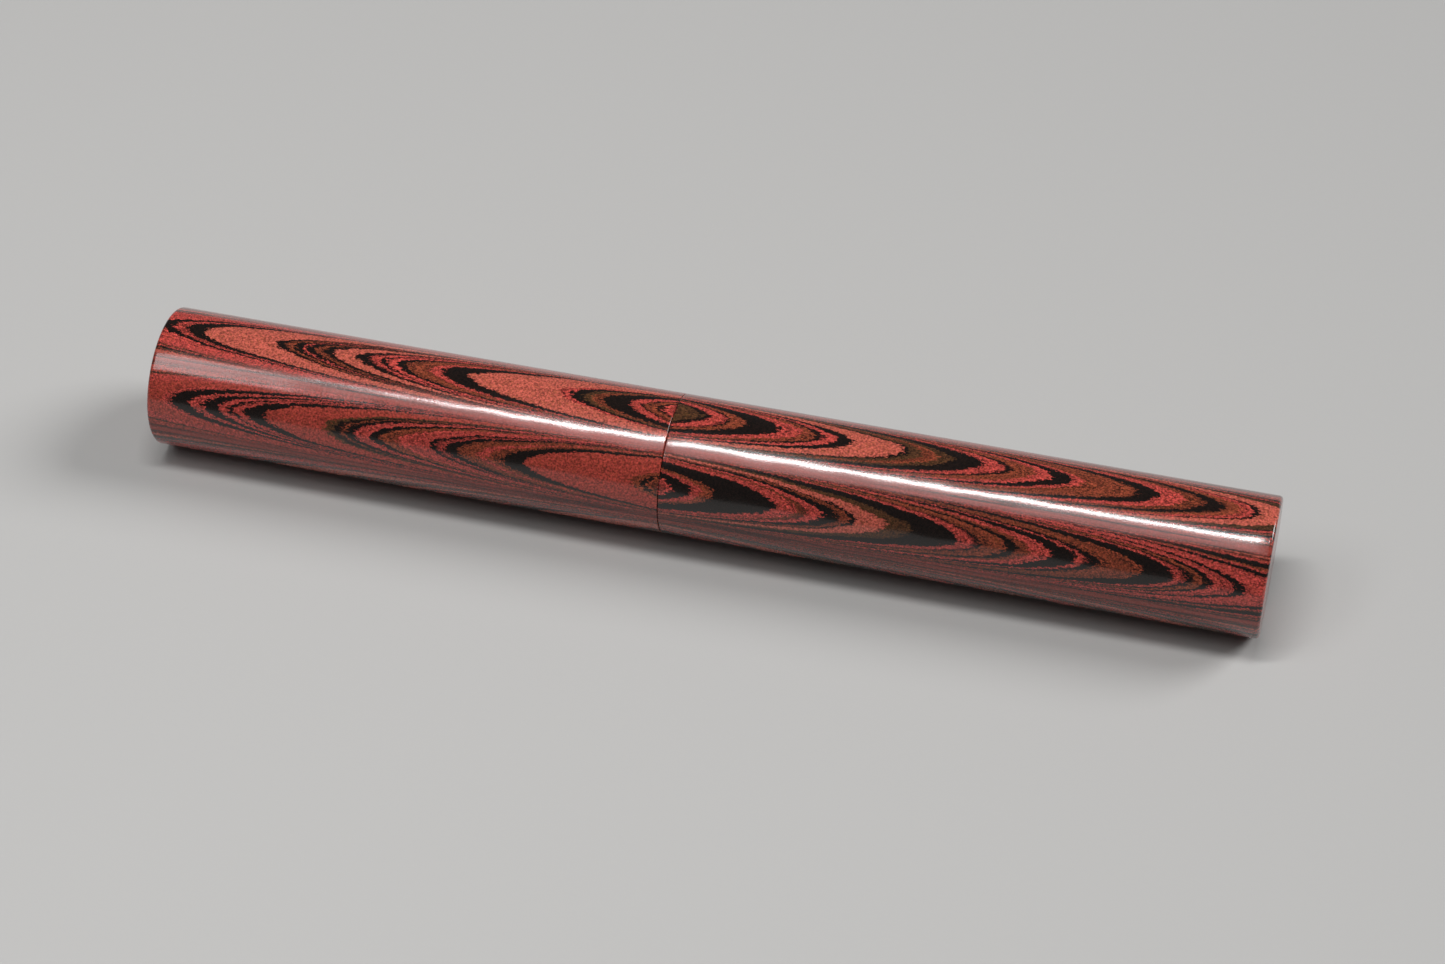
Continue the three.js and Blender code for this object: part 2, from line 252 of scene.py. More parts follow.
class GrainLook(bpy.types.PropertyGroup):
    """Colours and grain of the rippled hard rubber."""

    coral: bpy.props.FloatVectorProperty(
        name="Coral",
        description="Colour of the broad orange-red layers",
        subtype="COLOR",
        min=0.0,
        max=1.0,
        default=(0.45, 0.089, 0.063),
    )
    rose: bpy.props.FloatVectorProperty(
        name="Rose",
        description="Colour of the broad layers in front of the cap",
        subtype="COLOR",
        min=0.0,
        max=1.0,
        default=(0.35, 0.045, 0.032),
    )
    red: bpy.props.FloatVectorProperty(
        name="Red",
        description="Colour of the narrow bright layers",
        subtype="COLOR",
        min=0.0,
        max=1.0,
        default=(0.54, 0.065, 0.054),
    )
    brown: bpy.props.FloatVectorProperty(
        name="Brown",
        description="Colour of the brown layers",
        subtype="COLOR",
        min=0.0,
        max=1.0,
        default=(0.262, 0.050, 0.024),
    )
    olive: bpy.props.FloatVectorProperty(
        name="Olive",
        description="Colour of the dark olive layers",
        subtype="COLOR",
        min=0.0,
        max=1.0,
        default=(0.084, 0.032, 0.013),
    )
    black: bpy.props.FloatVectorProperty(
        name="Black",
        description="Colour of the black layers",
        subtype="COLOR",
        min=0.0,
        max=1.0,
        default=(0.0070, 0.0030, 0.0021),
    )
    maroon: bpy.props.FloatVectorProperty(
        name="Maroon",
        description="Colour where the layers crowd together between two rows of tongues",
        subtype="COLOR",
        min=0.0,
        max=1.0,
        default=(0.236, 0.036, 0.026),
    )
    fray: bpy.props.FloatProperty(
        name="Fray",
        description="How far the edges of the layers are torn along the pen, in millimetres",
        default=1.9,
        min=0.0,
        max=4.0,
    )
    haze: bpy.props.FloatProperty(
        name="Haze",
        description="Roughness of the broad soft shine round a highlight",
        subtype="FACTOR",
        default=0.26,
        min=0.0,
        max=1.0,
    )
    roughness: bpy.props.FloatProperty(
        name="Roughness",
        description="Roughness of the polished skin",
        subtype="FACTOR",
        default=0.12,
        min=0.0,
        max=1.0,
    )


class StageLook(bpy.types.PropertyGroup):
    """Floor and light."""

    floor: bpy.props.FloatVectorProperty(
        name="Floor",
        description="Colour of the floor",
        subtype="COLOR",
        min=0.0,
        max=1.0,
        default=(0.41, 0.405, 0.397),
    )
    streak_power: bpy.props.FloatProperty(
        name="Streak light",
        description="Power of the long narrow light over the pen, in watts",
        default=1.9,
        min=0.0,
    )
    streak_width: bpy.props.FloatProperty(
        name="Streak width",
        description="Width of the long light, which sets the width of the streak on the pen",
        default=0.048,
        unit="LENGTH",
    )
    band_power: bpy.props.FloatProperty(
        name="Band light",
        description="Power of the wide dim light beside the streak, in watts",
        default=0.4,
        min=0.0,
    )
    side_power: bpy.props.FloatProperty(
        name="Side light",
        description="Strength of the even light from behind, over the barrel's end",
        default=2.2,
        min=0.0,
    )
    sheen_power: bpy.props.FloatProperty(
        name="Sheen light",
        description="Power of the dim panel that the cap's end mirrors, in watts",
        default=0.63,
        min=0.0,
    )
    room: bpy.props.FloatProperty(
        name="Room light",
        description="Brightness of the plain surroundings",
        default=0.09,
        min=0.0,
    )


# ---------------------------------------------------------------- mesh work


def pen_point(along, radius, angle):
    """The point at a radius and an angle, in radians from straight up, round the centre line."""
    return Vector(
        (JOINT_X - along, radius * math.sin(angle), AXIS_HEIGHT + radius * math.cos(angle))
    )


def fillet(before, corner, after, radius, steps=6):
    """Points of the arc that rounds a corner between two straight lines."""
    back = (before - corner).normalized()
    ahead = (after - corner).normalized()
    half_angle = back.angle(ahead) / 2
    reach = min(
        radius / math.tan(half_angle),
        (before - corner).length * 0.49,
        (after - corner).length * 0.49,
    )
    radius = reach * math.tan(half_angle)
    centre = corner + (back + ahead).normalized() * (radius / math.sin(half_angle))
    first = corner + back * reach - centre
    last = corner + ahead * reach - centre
    sweep = first.angle_signed(last)
    points = []
    for step in range(steps + 1):
        angle = -sweep * step / steps
        turned_x = first.x * math.cos(angle) - first.y * math.sin(angle)
        turned_y = first.x * math.sin(angle) + first.y * math.cos(angle)
        points.append(centre + Vector((turned_x, turned_y)))
    return points


def outline(corners, closed=False):
    """Rows of (along, radius, thread depth) from (along, radius, rounding) corners."""
    count = len(corners)
    points = []
    for index, (along, radius, rounding) in enumerate(corners):
        corner = Vector((along, radius))
        inside = closed or 0 < index < count - 1
        if rounding and inside:
            before = Vector(corners[index - 1][:2])
            after = Vector(corners[(index + 1) % count][:2])
            points.extend(fillet(before, corner, after, rounding))
        else:
            points.append(corner)
    rows = []
    following = points[1:] + points[:1] if closed else points[1:]
    for start, end in zip(points, following):
        pieces = max(1, math.ceil((end - start).length / LONGEST_SPAN))
        for piece in range(pieces):
            point = start.lerp(end, piece / pieces)
            rows.append((point.x, point.y, 0.0))
    if not closed:
        rows.append((points[-1].x, points[-1].y, 0.0))
    return rows


def smooth_curve(points, steps):
    """A curve through (along, radius) points, with `steps` stretches between each pair."""
    path = [Vector(point) for point in points]
    path = [2 * path[0] - path[1], *path, 2 * path[-1] - path[-2]]
    curve = []
    for a, b, c, d in zip(path, path[1:], path[2:], path[3:]):
        for step in range(steps):
            t = step / steps
            curve.append(
                0.5
                * (
                    2 * b
                    + (c - a) * t
                    + (2 * a - 5 * b + 4 * c - d) * t**2
                    + (3 * b - a - 3 * c + d) * t**3
                )
            )
    return [*curve, path[-2]]


def thread_ridge(along, angle, widening):
    """Height of the thread's ridges, from 0 to 1, at a place on the screw."""
    pitch_angle = 360 / THREAD_STARTS
    phase = math.degrees(angle) - 360 * along / THREAD_LEAD + pitch_angle / 2
    from_ridge = abs(phase % pitch_angle - pitch_angle / 2)
    foot = RIDGE_FOOT + widening
    crest = RIDGE_CREST + widening
    rise = min(1, max(0, (foot - from_ridge) / (foot - crest)))
    return rise * rise * (3 - 2 * rise)


def thread_rows(rear, front, root, rear_fade, front_fade):
    """Rows of a thread between two places, whose depth fades out over its ends."""
    count = round((front - rear) / THREAD_ROW)
    rows = []
    for row in range(count + 1):
        along = rear + (front - rear) * row / count
        depth = min(1, (along - rear) / rear_fade, (front - along) / front_fade)
        rows.append((along, root, THREAD_DEPTH * max(0, depth)))
    return rows


def turned(name, rows, sides, closed=False, widening=0.0):
    """A body turned round the centre line from rows of (along, radius, thread depth)."""
    shape = bmesh.new()
    rings = []
    for along, radius, depth in rows:
        if radius == 0:
            rings.append([shape.verts.new(pen_point(along, 0, 0))])
            continue
        ring = []
        for side in range(sides):
            angle = 2 * math.pi * side / sides
            reach = radius
            if depth:
                reach += depth * thread_ridge(along, angle, widening)
            ring.append(shape.verts.new(pen_point(along, reach, angle)))
        rings.append(ring)
    neighbours = rings[1:] + rings[:1] if closed else rings[1:]
    for ring, neighbour in zip(rings, neighbours):
        for side in range(sides):
            beyond = (side + 1) % sides
            corners = [
                ring[side % len(ring)],
                ring[beyond % len(ring)],
                neighbour[beyond % len(neighbour)],
                neighbour[side % len(neighbour)],
            ]
            shape.faces.new(list(dict.fromkeys(corners)))
    return finished(name, shape)


def finished(name, shape):
    """An object from a bmesh, shaded smooth between its sharp edges."""
    bmesh.ops.recalc_face_normals(shape, faces=shape.faces)
    for face in shape.faces:
        face.smooth = True
    for edge in shape.edges:
        edge.smooth = edge.is_boundary or edge.calc_face_angle(0) < math.radians(SHARP_ANGLE)
    mesh = bpy.data.meshes.new(name)
    shape.to_mesh(mesh)
    shape.free()
    piece = bpy.data.objects.new(name, mesh)
    bpy.context.scene.collection.objects.link(piece)
    return piece


def thickened(piece, thickness, edge):
    """Gives a sheet its thickness and softened edges, and keeps the result as its mesh."""
    solidify = piece.modifiers.new("Thickness", "SOLIDIFY")
    solidify.thickness = thickness
    solidify.offset = 0
    solidify.use_even_offset = True
    bevel = piece.modifiers.new("Softened edges", "BEVEL")
    bevel.width = edge
    bevel.segments = 3
    bevel.limit_method = "ANGLE"
    bevel.angle_limit = math.radians(50)
    evaluated = piece.evaluated_get(bpy.context.evaluated_depsgraph_get())
    mesh = bpy.data.meshes.new_from_object(evaluated)
    piece.modifiers.clear()
    piece.data = mesh
    for polygon in mesh.polygons:
        polygon.use_smooth = True
    return piece


def placed(piece, node, body, material):
    """Finishes a piece: its material, the node that it stands for and the body it rides on."""
    piece.data.materials.clear()
    piece.data.materials.append(material)
    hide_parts(node)
    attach(piece, body)


# ---------------------------------------------------------------- materials


def rippled_rubber(name, look, away, top_layers, front_layers):
    """Polished hard rubber with tongues of coloured layers.

    `away` is -1 where the tongues point along -X, and 1 where they point along +X.
    The layers run in six rows of nested tongues. On the centre line of a row a layer lies at its
    own distance from the joint, and it trails back steeply towards the rows beside it.
    """
    material = bpy.data.materials.new(name)
    material.use_nodes = True
    nodes = material.node_tree.nodes
    links = material.node_tree.links
    nodes.clear()
    row_angle = math.radians(60)
    colours = {kind: (*getattr(look, kind), LAMINATION[kind]) for kind in LAMINATION}

    place_frame = nodes.new("NodeFrame")
    place_frame.label = "Place on the rod"
    angle_frame = nodes.new("NodeFrame")
    angle_frame.label = "Row of tongues"
    flow_frame = nodes.new("NodeFrame")
    flow_frame.label = "Flow of the layers"
    ragged_frame = nodes.new("NodeFrame")
    ragged_frame.label = "Torn edges"
    layer_frame = nodes.new("NodeFrame")
    layer_frame.label = "Layers"
    grain_frame = nodes.new("NodeFrame")
    grain_frame.label = "Grain inside the layers"
    crowd_frame = nodes.new("NodeFrame")
    crowd_frame.label = "Crowded lines between rows"
    polish_frame = nodes.new("NodeFrame")
    polish_frame.label = "Polish"

    # Place on the rod, in millimetres from the joint.
    place = nodes.new("ShaderNodeTexCoord")
    place.label = "Place"
    place.parent = place_frame
    from_joint = nodes.new("ShaderNodeVectorMath")
    from_joint.label = "From the joint's centre"
    from_joint.parent = place_frame
    from_joint.operation = "SUBTRACT"
    from_joint.inputs[1].default_value = (JOINT_X, 0, AXIS_HEIGHT)
    in_millimetres = nodes.new("ShaderNodeVectorMath")
    in_millimetres.label = "Away from the joint, in millimetres"
    in_millimetres.parent = place_frame
    in_millimetres.operation = "MULTIPLY"
    in_millimetres.inputs[1].default_value = (away / MM, 1 / MM, 1 / MM)
    parts = nodes.new("ShaderNodeSeparateXYZ")
    parts.label = "Along, across and up"
    parts.parent = place_frame
    across = nodes.new("ShaderNodeVectorMath")
    across.label = "Share of the radius"
    across.parent = place_frame
    across.operation = "MULTIPLY"
    across.inputs[1].default_value = (0, MM / BODY_RADIUS, MM / BODY_RADIUS)
    depth = nodes.new("ShaderNodeVectorMath")
    depth.label = "Radius squared"
    depth.parent = place_frame
    depth.operation = "DOT_PRODUCT"
    links.new(place.outputs["Object"], from_joint.inputs[0])
    links.new(from_joint.outputs[0], in_millimetres.inputs[0])
    links.new(in_millimetres.outputs[0], parts.inputs[0])
    links.new(in_millimetres.outputs[0], across.inputs[0])
    links.new(across.outputs[0], depth.inputs[0])
    links.new(across.outputs[0], depth.inputs[1])

    # Which row of tongues a place belongs to, and how far round from the row's middle it is.
    towards_front = nodes.new("ShaderNodeMath")
    towards_front.label = "Towards the front"
    towards_front.parent = angle_frame
    towards_front.operation = "MULTIPLY"
    towards_front.inputs[1].default_value = -1
    angle = nodes.new("ShaderNodeMath")
    angle.label = "Angle round the pen"
    angle.parent = angle_frame
    angle.operation = "ARCTAN2"
    turned_back = nodes.new("ShaderNodeMath")
    turned_back.label = "Angle from the wide side"
    turned_back.parent = angle_frame
    turned_back.operation = "SUBTRACT"
    turned_back.inputs[1].default_value = math.radians(32)
    uneven = nodes.new("ShaderNodeMath")
    uneven.label = "Uneven spacing"
    uneven.parent = angle_frame
    uneven.operation = "SINE"
    spaced = nodes.new("ShaderNodeMath")
    spaced.label = "Evenly spaced angle"
    spaced.parent = angle_frame
    spaced.operation = "MULTIPLY_ADD"
    spaced.inputs[1].default_value = math.radians(-5.5)
    half_row_on = nodes.new("ShaderNodeMath")
    half_row_on.label = "Half a row further"
    half_row_on.parent = angle_frame
    half_row_on.operation = "ADD"
    half_row_on.inputs[1].default_value = row_angle / 2 - math.radians(2)
    row = nodes.new("ShaderNodeMath")
    row.label = "Angle of the row's middle"
    row.parent = angle_frame
    row.operation = "SNAP"
    row.inputs[1].default_value = row_angle
    half_row_back = nodes.new("ShaderNodeMath")
    half_row_back.label = "From the row's start"
    half_row_back.parent = angle_frame
    half_row_back.operation = "SUBTRACT"
    off_middle = nodes.new("ShaderNodeMath")
    off_middle.label = "Angle from the row's middle"
    off_middle.parent = angle_frame
    off_middle.operation = "SUBTRACT"
    off_middle.inputs[1].default_value = row_angle / 2
    other_face = nodes.new("ShaderNodeMath")
    other_face.label = "Every second row"
    other_face.parent = angle_frame
    other_face.operation = "PINGPONG"
    other_face.inputs[1].default_value = row_angle
    face = nodes.new("ShaderNodeMath")
    face.label = "0 on top, 1 in front"
    face.parent = angle_frame
    face.operation = "DIVIDE"
    face.inputs[1].default_value = row_angle
    face.use_clamp = True
    row_turned = nodes.new("ShaderNodeMath")
    row_turned.label = "Row's angle from the seen side"
    row_turned.parent = angle_frame
    row_turned.operation = "SUBTRACT"
    row_turned.inputs[1].default_value = row_angle / 2
    row_cosine = nodes.new("ShaderNodeMath")
    row_cosine.label = "Rows on the far side"
    row_cosine.parent = angle_frame
    row_cosine.operation = "COSINE"
    row_lag = nodes.new("ShaderNodeMath")
    row_lag.label = "Lag of the far rows"
    row_lag.parent = angle_frame
    row_lag.operation = "MULTIPLY_ADD"
    row_lag.inputs[1].default_value = -9 / math.cos(row_angle / 2)
    row_lag.inputs[2].default_value = 9
    links.new(parts.outputs["Y"], towards_front.inputs[0])
    links.new(towards_front.outputs[0], angle.inputs[0])
    links.new(parts.outputs["Z"], angle.inputs[1])
    links.new(angle.outputs[0], turned_back.inputs[0])
    links.new(turned_back.outputs[0], uneven.inputs[0])
    links.new(uneven.outputs[0], spaced.inputs[0])
    links.new(angle.outputs[0], spaced.inputs[2])
    links.new(spaced.outputs[0], half_row_on.inputs[0])
    links.new(half_row_on.outputs[0], row.inputs[0])
    links.new(half_row_on.outputs[0], half_row_back.inputs[0])
    links.new(row.outputs[0], half_row_back.inputs[1])
    links.new(half_row_back.outputs[0], off_middle.inputs[0])
    links.new(row.outputs[0], other_face.inputs[0])
    links.new(other_face.outputs[0], face.inputs[0])
    links.new(row.outputs[0], row_turned.inputs[0])
    links.new(row_turned.outputs[0], row_cosine.inputs[0])
    links.new(row_cosine.outputs[0], row_lag.inputs[0])

    # The flanks of the tongues are torn too.
    flank_place = nodes.new("ShaderNodeVectorMath")
    flank_place.label = "Fine tears"
    flank_place.parent = angle_frame
    flank_place.operation = "MULTIPLY"
    flank_place.inputs[1].default_value = (2.6, 5.5, 5.5)
    flank = nodes.new("ShaderNodeTexNoise")
    flank.label = "Torn flanks"
    flank.parent = angle_frame
    flank.inputs["Scale"].default_value = 1.0
    flank.inputs["Detail"].default_value = 3.0
    flank.inputs["Roughness"].default_value = 0.7
    flank_size = nodes.new("ShaderNodeMapRange")
    flank_size.label = "Tears in radians"
    flank_size.parent = angle_frame
    flank_size.inputs["From Min"].default_value = 0.25
    flank_size.inputs["From Max"].default_value = 0.75
    flank_size.inputs["To Min"].default_value = math.radians(-1.0)
    flank_size.inputs["To Max"].default_value = math.radians(1.0)
    torn_angle = nodes.new("ShaderNodeMath")
    torn_angle.label = "Torn angle"
    torn_angle.parent = angle_frame
    torn_angle.operation = "ADD"
    links.new(in_millimetres.outputs[0], flank_place.inputs[0])
    links.new(flank_place.outputs[0], flank.inputs["Vector"])
    links.new(flank.outputs["Fac"], flank_size.inputs["Value"])
    links.new(off_middle.outputs[0], torn_angle.inputs[0])
    links.new(flank_size.outputs["Result"], torn_angle.inputs[1])

    # How far a layer trails behind its tip.
    quarter = nodes.new("ShaderNodeMath")
    quarter.label = "Quarter turn at the row's edge"
    quarter.parent = flow_frame
    quarter.operation = "MULTIPLY"
    quarter.inputs[1].default_value = math.pi / row_angle
    freedom = nodes.new("ShaderNodeMath")
    freedom.label = "Freedom to flow"
    freedom.parent = flow_frame
    freedom.operation = "COSINE"
    freedom_left = nodes.new("ShaderNodeMath")
    freedom_left.label = "Least flow"
    freedom_left.parent = flow_frame
    freedom_left.operation = "MAXIMUM"
    freedom_left.inputs[1].default_value = 0.02
    drag = nodes.new("ShaderNodeMath")
    drag.label = "Drag"
    drag.parent = flow_frame
    drag.operation = "LOGARITHM"
    drag.inputs[1].default_value = math.e
    trail = nodes.new("ShaderNodeMath")
    trail.label = "Trailing distance"
    trail.parent = flow_frame
    trail.operation = "MULTIPLY"
    trail.inputs[1].default_value = -21
    trail_inside = nodes.new("ShaderNodeMath")
    trail_inside.label = "Less inside the rod"
    trail_inside.parent = flow_frame
    trail_inside.operation = "MULTIPLY"
    bulge = nodes.new("ShaderNodeMath")
    bulge.label = "Core runs ahead"
    bulge.parent = flow_frame
    bulge.operation = "MULTIPLY_ADD"
    bulge.inputs[1].default_value = 14
    bulge.inputs[2].default_value = -14
    flow = nodes.new("ShaderNodeMath")
    flow.label = "Flow"
    flow.parent = flow_frame
    flow.operation = "ADD"
    lagged = nodes.new("ShaderNodeMath")
    lagged.label = "Flow and lag"
    lagged.parent = flow_frame
    lagged.operation = "ADD"
    tip_distance = nodes.new("ShaderNodeMath")
    tip_distance.label = "Distance of the tip"
    tip_distance.parent = flow_frame
    tip_distance.operation = "ADD"
    links.new(torn_angle.outputs[0], quarter.inputs[0])
    links.new(quarter.outputs[0], freedom.inputs[0])
    links.new(freedom.outputs[0], freedom_left.inputs[0])
    links.new(freedom_left.outputs[0], drag.inputs[0])
    links.new(drag.outputs[0], trail.inputs[0])
    links.new(trail.outputs[0], trail_inside.inputs[0])
    links.new(depth.outputs["Value"], trail_inside.inputs[1])
    links.new(depth.outputs["Value"], bulge.inputs[0])
    links.new(trail_inside.outputs[0], flow.inputs[0])
    links.new(bulge.outputs[0], flow.inputs[1])
    links.new(flow.outputs[0], lagged.inputs[0])
    links.new(row_lag.outputs[0], lagged.inputs[1])
    links.new(lagged.outputs[0], tip_distance.inputs[0])
    links.new(parts.outputs["X"], tip_distance.inputs[1])

    # Edges that wander gently, and are torn along the pen.
    wander_place = nodes.new("ShaderNodeVectorMath")
    wander_place.label = "Slow stretch"
    wander_place.parent = ragged_frame
    wander_place.operation = "MULTIPLY"
    wander_place.inputs[1].default_value = (0.10, 0.28, 0.28)
    wander = nodes.new("ShaderNodeTexNoise")
    wander.label = "Wander"
    wander.parent = ragged_frame
    wander.inputs["Scale"].default_value = 1.0
    wander.inputs["Detail"].default_value = 2.0
    wander_size = nodes.new("ShaderNodeMapRange")
    wander_size.label = "Wander in millimetres"
    wander_size.parent = ragged_frame
    wander_size.inputs["From Min"].default_value = 0.25
    wander_size.inputs["From Max"].default_value = 0.75
    wander_size.inputs["To Min"].default_value = -0.9
    wander_size.inputs["To Max"].default_value = 0.9
    wander_size.clamp = False
    fray_place = nodes.new("ShaderNodeVectorMath")
    fray_place.label = "Torn along the pen"
    fray_place.parent = ragged_frame
    fray_place.operation = "MULTIPLY"
    fray_place.inputs[1].default_value = (1.5, 3.6, 3.6)
    fray = nodes.new("ShaderNodeTexNoise")
    fray.label = "Fray"
    fray.parent = ragged_frame
    fray.inputs["Scale"].default_value = 1.0
    fray.inputs["Detail"].default_value = 4.0
    fray.inputs["Roughness"].default_value = 0.72
    fray_size = nodes.new("ShaderNodeMapRange")
    fray_size.label = "Fray in millimetres"
    fray_size.parent = ragged_frame
    fray_size.inputs["From Min"].default_value = 0.25
    fray_size.inputs["From Max"].default_value = 0.75
    fray_size.inputs["To Min"].default_value = -look.fray / 2
    fray_size.inputs["To Max"].default_value = look.fray / 2
    fray_size.clamp = False
    ragged = nodes.new("ShaderNodeMath")
    ragged.label = "Both"
    ragged.parent = ragged_frame
    ragged.operation = "ADD"
    links.new(in_millimetres.outputs[0], wander_place.inputs[0])
    links.new(wander_place.outputs[0], wander.inputs["Vector"])
    links.new(wander.outputs["Fac"], wander_size.inputs["Value"])
    links.new(in_millimetres.outputs[0], fray_place.inputs[0])
    links.new(fray_place.outputs[0], fray.inputs["Vector"])
    links.new(fray.outputs["Fac"], fray_size.inputs["Value"])
    links.new(wander_size.outputs["Result"], ragged.inputs[0])
    links.new(fray_size.outputs["Result"], ragged.inputs[1])

    # The layers' colours.
    torn_distance = nodes.new("ShaderNodeMath")
    torn_distance.label = "Torn distance of the tip"
    torn_distance.parent = layer_frame
    torn_distance.operation = "ADD"
    repeated = nodes.new("ShaderNodeMath")
    repeated.label = "Repeat of the layers"
    repeated.parent = layer_frame
    repeated.operation = "WRAP"
    repeated.inputs[1].default_value = LAYER_PERIOD
    repeated.inputs[2].default_value = 0
    share = nodes.new("ShaderNodeMath")
    share.label = "Share of the repeat"
    share.parent = layer_frame
    share.operation = "DIVIDE"
    share.inputs[1].default_value = LAYER_PERIOD
    top = nodes.new("ShaderNodeValToRGB")
    top.label = "Layers on top"
    top.parent = layer_frame
    front = nodes.new("ShaderNodeValToRGB")
    front.label = "Layers in front"
    front.parent = layer_frame
    for ramp, layers in ((top.color_ramp, top_layers), (front.color_ramp, front_layers)):
        ramp.interpolation = "CONSTANT"
        ramp.elements.remove(ramp.elements[1])
        ramp.elements[0].position = 0
        ramp.elements[0].color = colours[layers[0][1]]
        for start, kind in layers[1:]:
            ramp.elements.new(start / LAYER_PERIOD).color = colours[kind]
    layer = nodes.new("ShaderNodeMix")
    layer.label = "Layer"
    layer.parent = layer_frame
    layer.data_type = "RGBA"
    laminated = nodes.new("ShaderNodeMix")
    laminated.label = "How finely it is laminated"
    laminated.parent = layer_frame
    links.new(tip_distance.outputs[0], torn_distance.inputs[0])
    links.new(ragged.outputs[0], torn_distance.inputs[1])
    links.new(torn_distance.outputs[0], repeated.inputs[0])
    links.new(repeated.outputs[0], share.inputs[0])
    links.new(share.outputs[0], top.inputs[0])
    links.new(share.outputs[0], front.inputs[0])
    links.new(face.outputs[0], layer.inputs["Factor"])
    links.new(top.outputs["Color"], layer.inputs["A"])
    links.new(front.outputs["Color"], layer.inputs["B"])
    links.new(face.outputs[0], laminated.inputs["Factor"])
    links.new(top.outputs["Alpha"], laminated.inputs["A"])
    links.new(front.outputs["Alpha"], laminated.inputs["B"])

    # Thin dark laminations that follow the layers, and grains of the ground rubber.
    lamination = nodes.new("ShaderNodeTexNoise")
    lamination.label = "Laminations"
    lamination.parent = grain_frame
    lamination.noise_dimensions = "1D"
    lamination.inputs["Scale"].default_value = 2.2
    lamination.inputs["Detail"].default_value = 4.0
    lamination.inputs["Roughness"].default_value = 0.6
    dark_line = nodes.new("ShaderNodeMapRange")
    dark_line.label = "Dark lines"
    dark_line.parent = grain_frame
    dark_line.inputs["From Min"].default_value = 0.49
    dark_line.inputs["From Max"].default_value = 0.55
    line_depth = nodes.new("ShaderNodeMath")
    line_depth.label = "Depth of the dark lines"
    line_depth.parent = grain_frame
    line_depth.operation = "MULTIPLY"
    lined = nodes.new("ShaderNodeMix")
    lined.label = "Lined layer"
    lined.parent = grain_frame
    lined.data_type = "RGBA"
    lined.inputs["B"].default_value = (*look.black, 1)
    grains = nodes.new("ShaderNodeTexNoise")
    grains.label = "Grains"
    grains.parent = grain_frame
    grains.inputs["Scale"].default_value = 4.2
    grains.inputs["Detail"].default_value = 3.0
    grains.inputs["Roughness"].default_value = 0.75
    grain_tone = nodes.new("ShaderNodeMapRange")
    grain_tone.label = "Tone of the grains"
    grain_tone.parent = grain_frame
    grain_tone.inputs["From Min"].default_value = 0.38
    grain_tone.inputs["From Max"].default_value = 0.62
    grain_tone.inputs["To Min"].default_value = 0.42
    grain_tone.inputs["To Max"].default_value = 1.58
    grained = nodes.new("ShaderNodeMix")
    grained.label = "Grained layer"
    grained.parent = grain_frame
    grained.data_type = "RGBA"
    grained.blend_type = "MULTIPLY"
    grained.clamp_result = True
    grained.inputs["Factor"].default_value = 1.0
    warm_place = nodes.new("ShaderNodeVectorMath")
    warm_place.label = "Other grains"
    warm_place.parent = grain_frame
    warm_place.operation = "MULTIPLY_ADD"
    warm_place.inputs[1].default_value = (3.2, 3.8, 3.8)
    warm_place.inputs[2].default_value = (17, 31, 5)
    warm_grains = nodes.new("ShaderNodeTexNoise")
    warm_grains.label = "Brown grains"
    warm_grains.parent = grain_frame
    warm_grains.inputs["Scale"].default_value = 1.0
    warm_grains.inputs["Detail"].default_value = 3.0
    warm_grains.inputs["Roughness"].default_value = 0.7
    warm_share = nodes.new("ShaderNodeMapRange")
    warm_share.label = "Share of brown grains"
    warm_share.parent = grain_frame
    warm_share.inputs["From Min"].default_value = 0.46
    warm_share.inputs["From Max"].default_value = 0.66
    warm_share.inputs["To Max"].default_value = 0.9
    tinted = nodes.new("ShaderNodeMix")
    tinted.label = "Layer with brown grains"
    tinted.parent = grain_frame
    tinted.data_type = "RGBA"
    tinted.blend_type = "MULTIPLY"
    tinted.inputs["B"].default_value = (0.62, 0.78, 0.50, 1)
    links.new(torn_distance.outputs[0], lamination.inputs["W"])
    links.new(lamination.outputs["Fac"], dark_line.inputs["Value"])
    links.new(dark_line.outputs["Result"], line_depth.inputs[0])
    links.new(laminated.outputs["Result"], line_depth.inputs[1])
    links.new(line_depth.outputs[0], lined.inputs["Factor"])
    links.new(layer.outputs["Result"], lined.inputs["A"])
    links.new(in_millimetres.outputs[0], warm_place.inputs[0])
    links.new(warm_place.outputs[0], warm_grains.inputs["Vector"])
    links.new(warm_grains.outputs["Fac"], warm_share.inputs["Value"])
    links.new(warm_share.outputs["Result"], tinted.inputs["Factor"])
    links.new(lined.outputs["Result"], tinted.inputs["A"])
    links.new(in_millimetres.outputs[0], grains.inputs["Vector"])
    links.new(grains.outputs["Fac"], grain_tone.inputs["Value"])
    links.new(tinted.outputs["Result"], grained.inputs["A"])
    links.new(grain_tone.outputs["Result"], grained.inputs["B"])

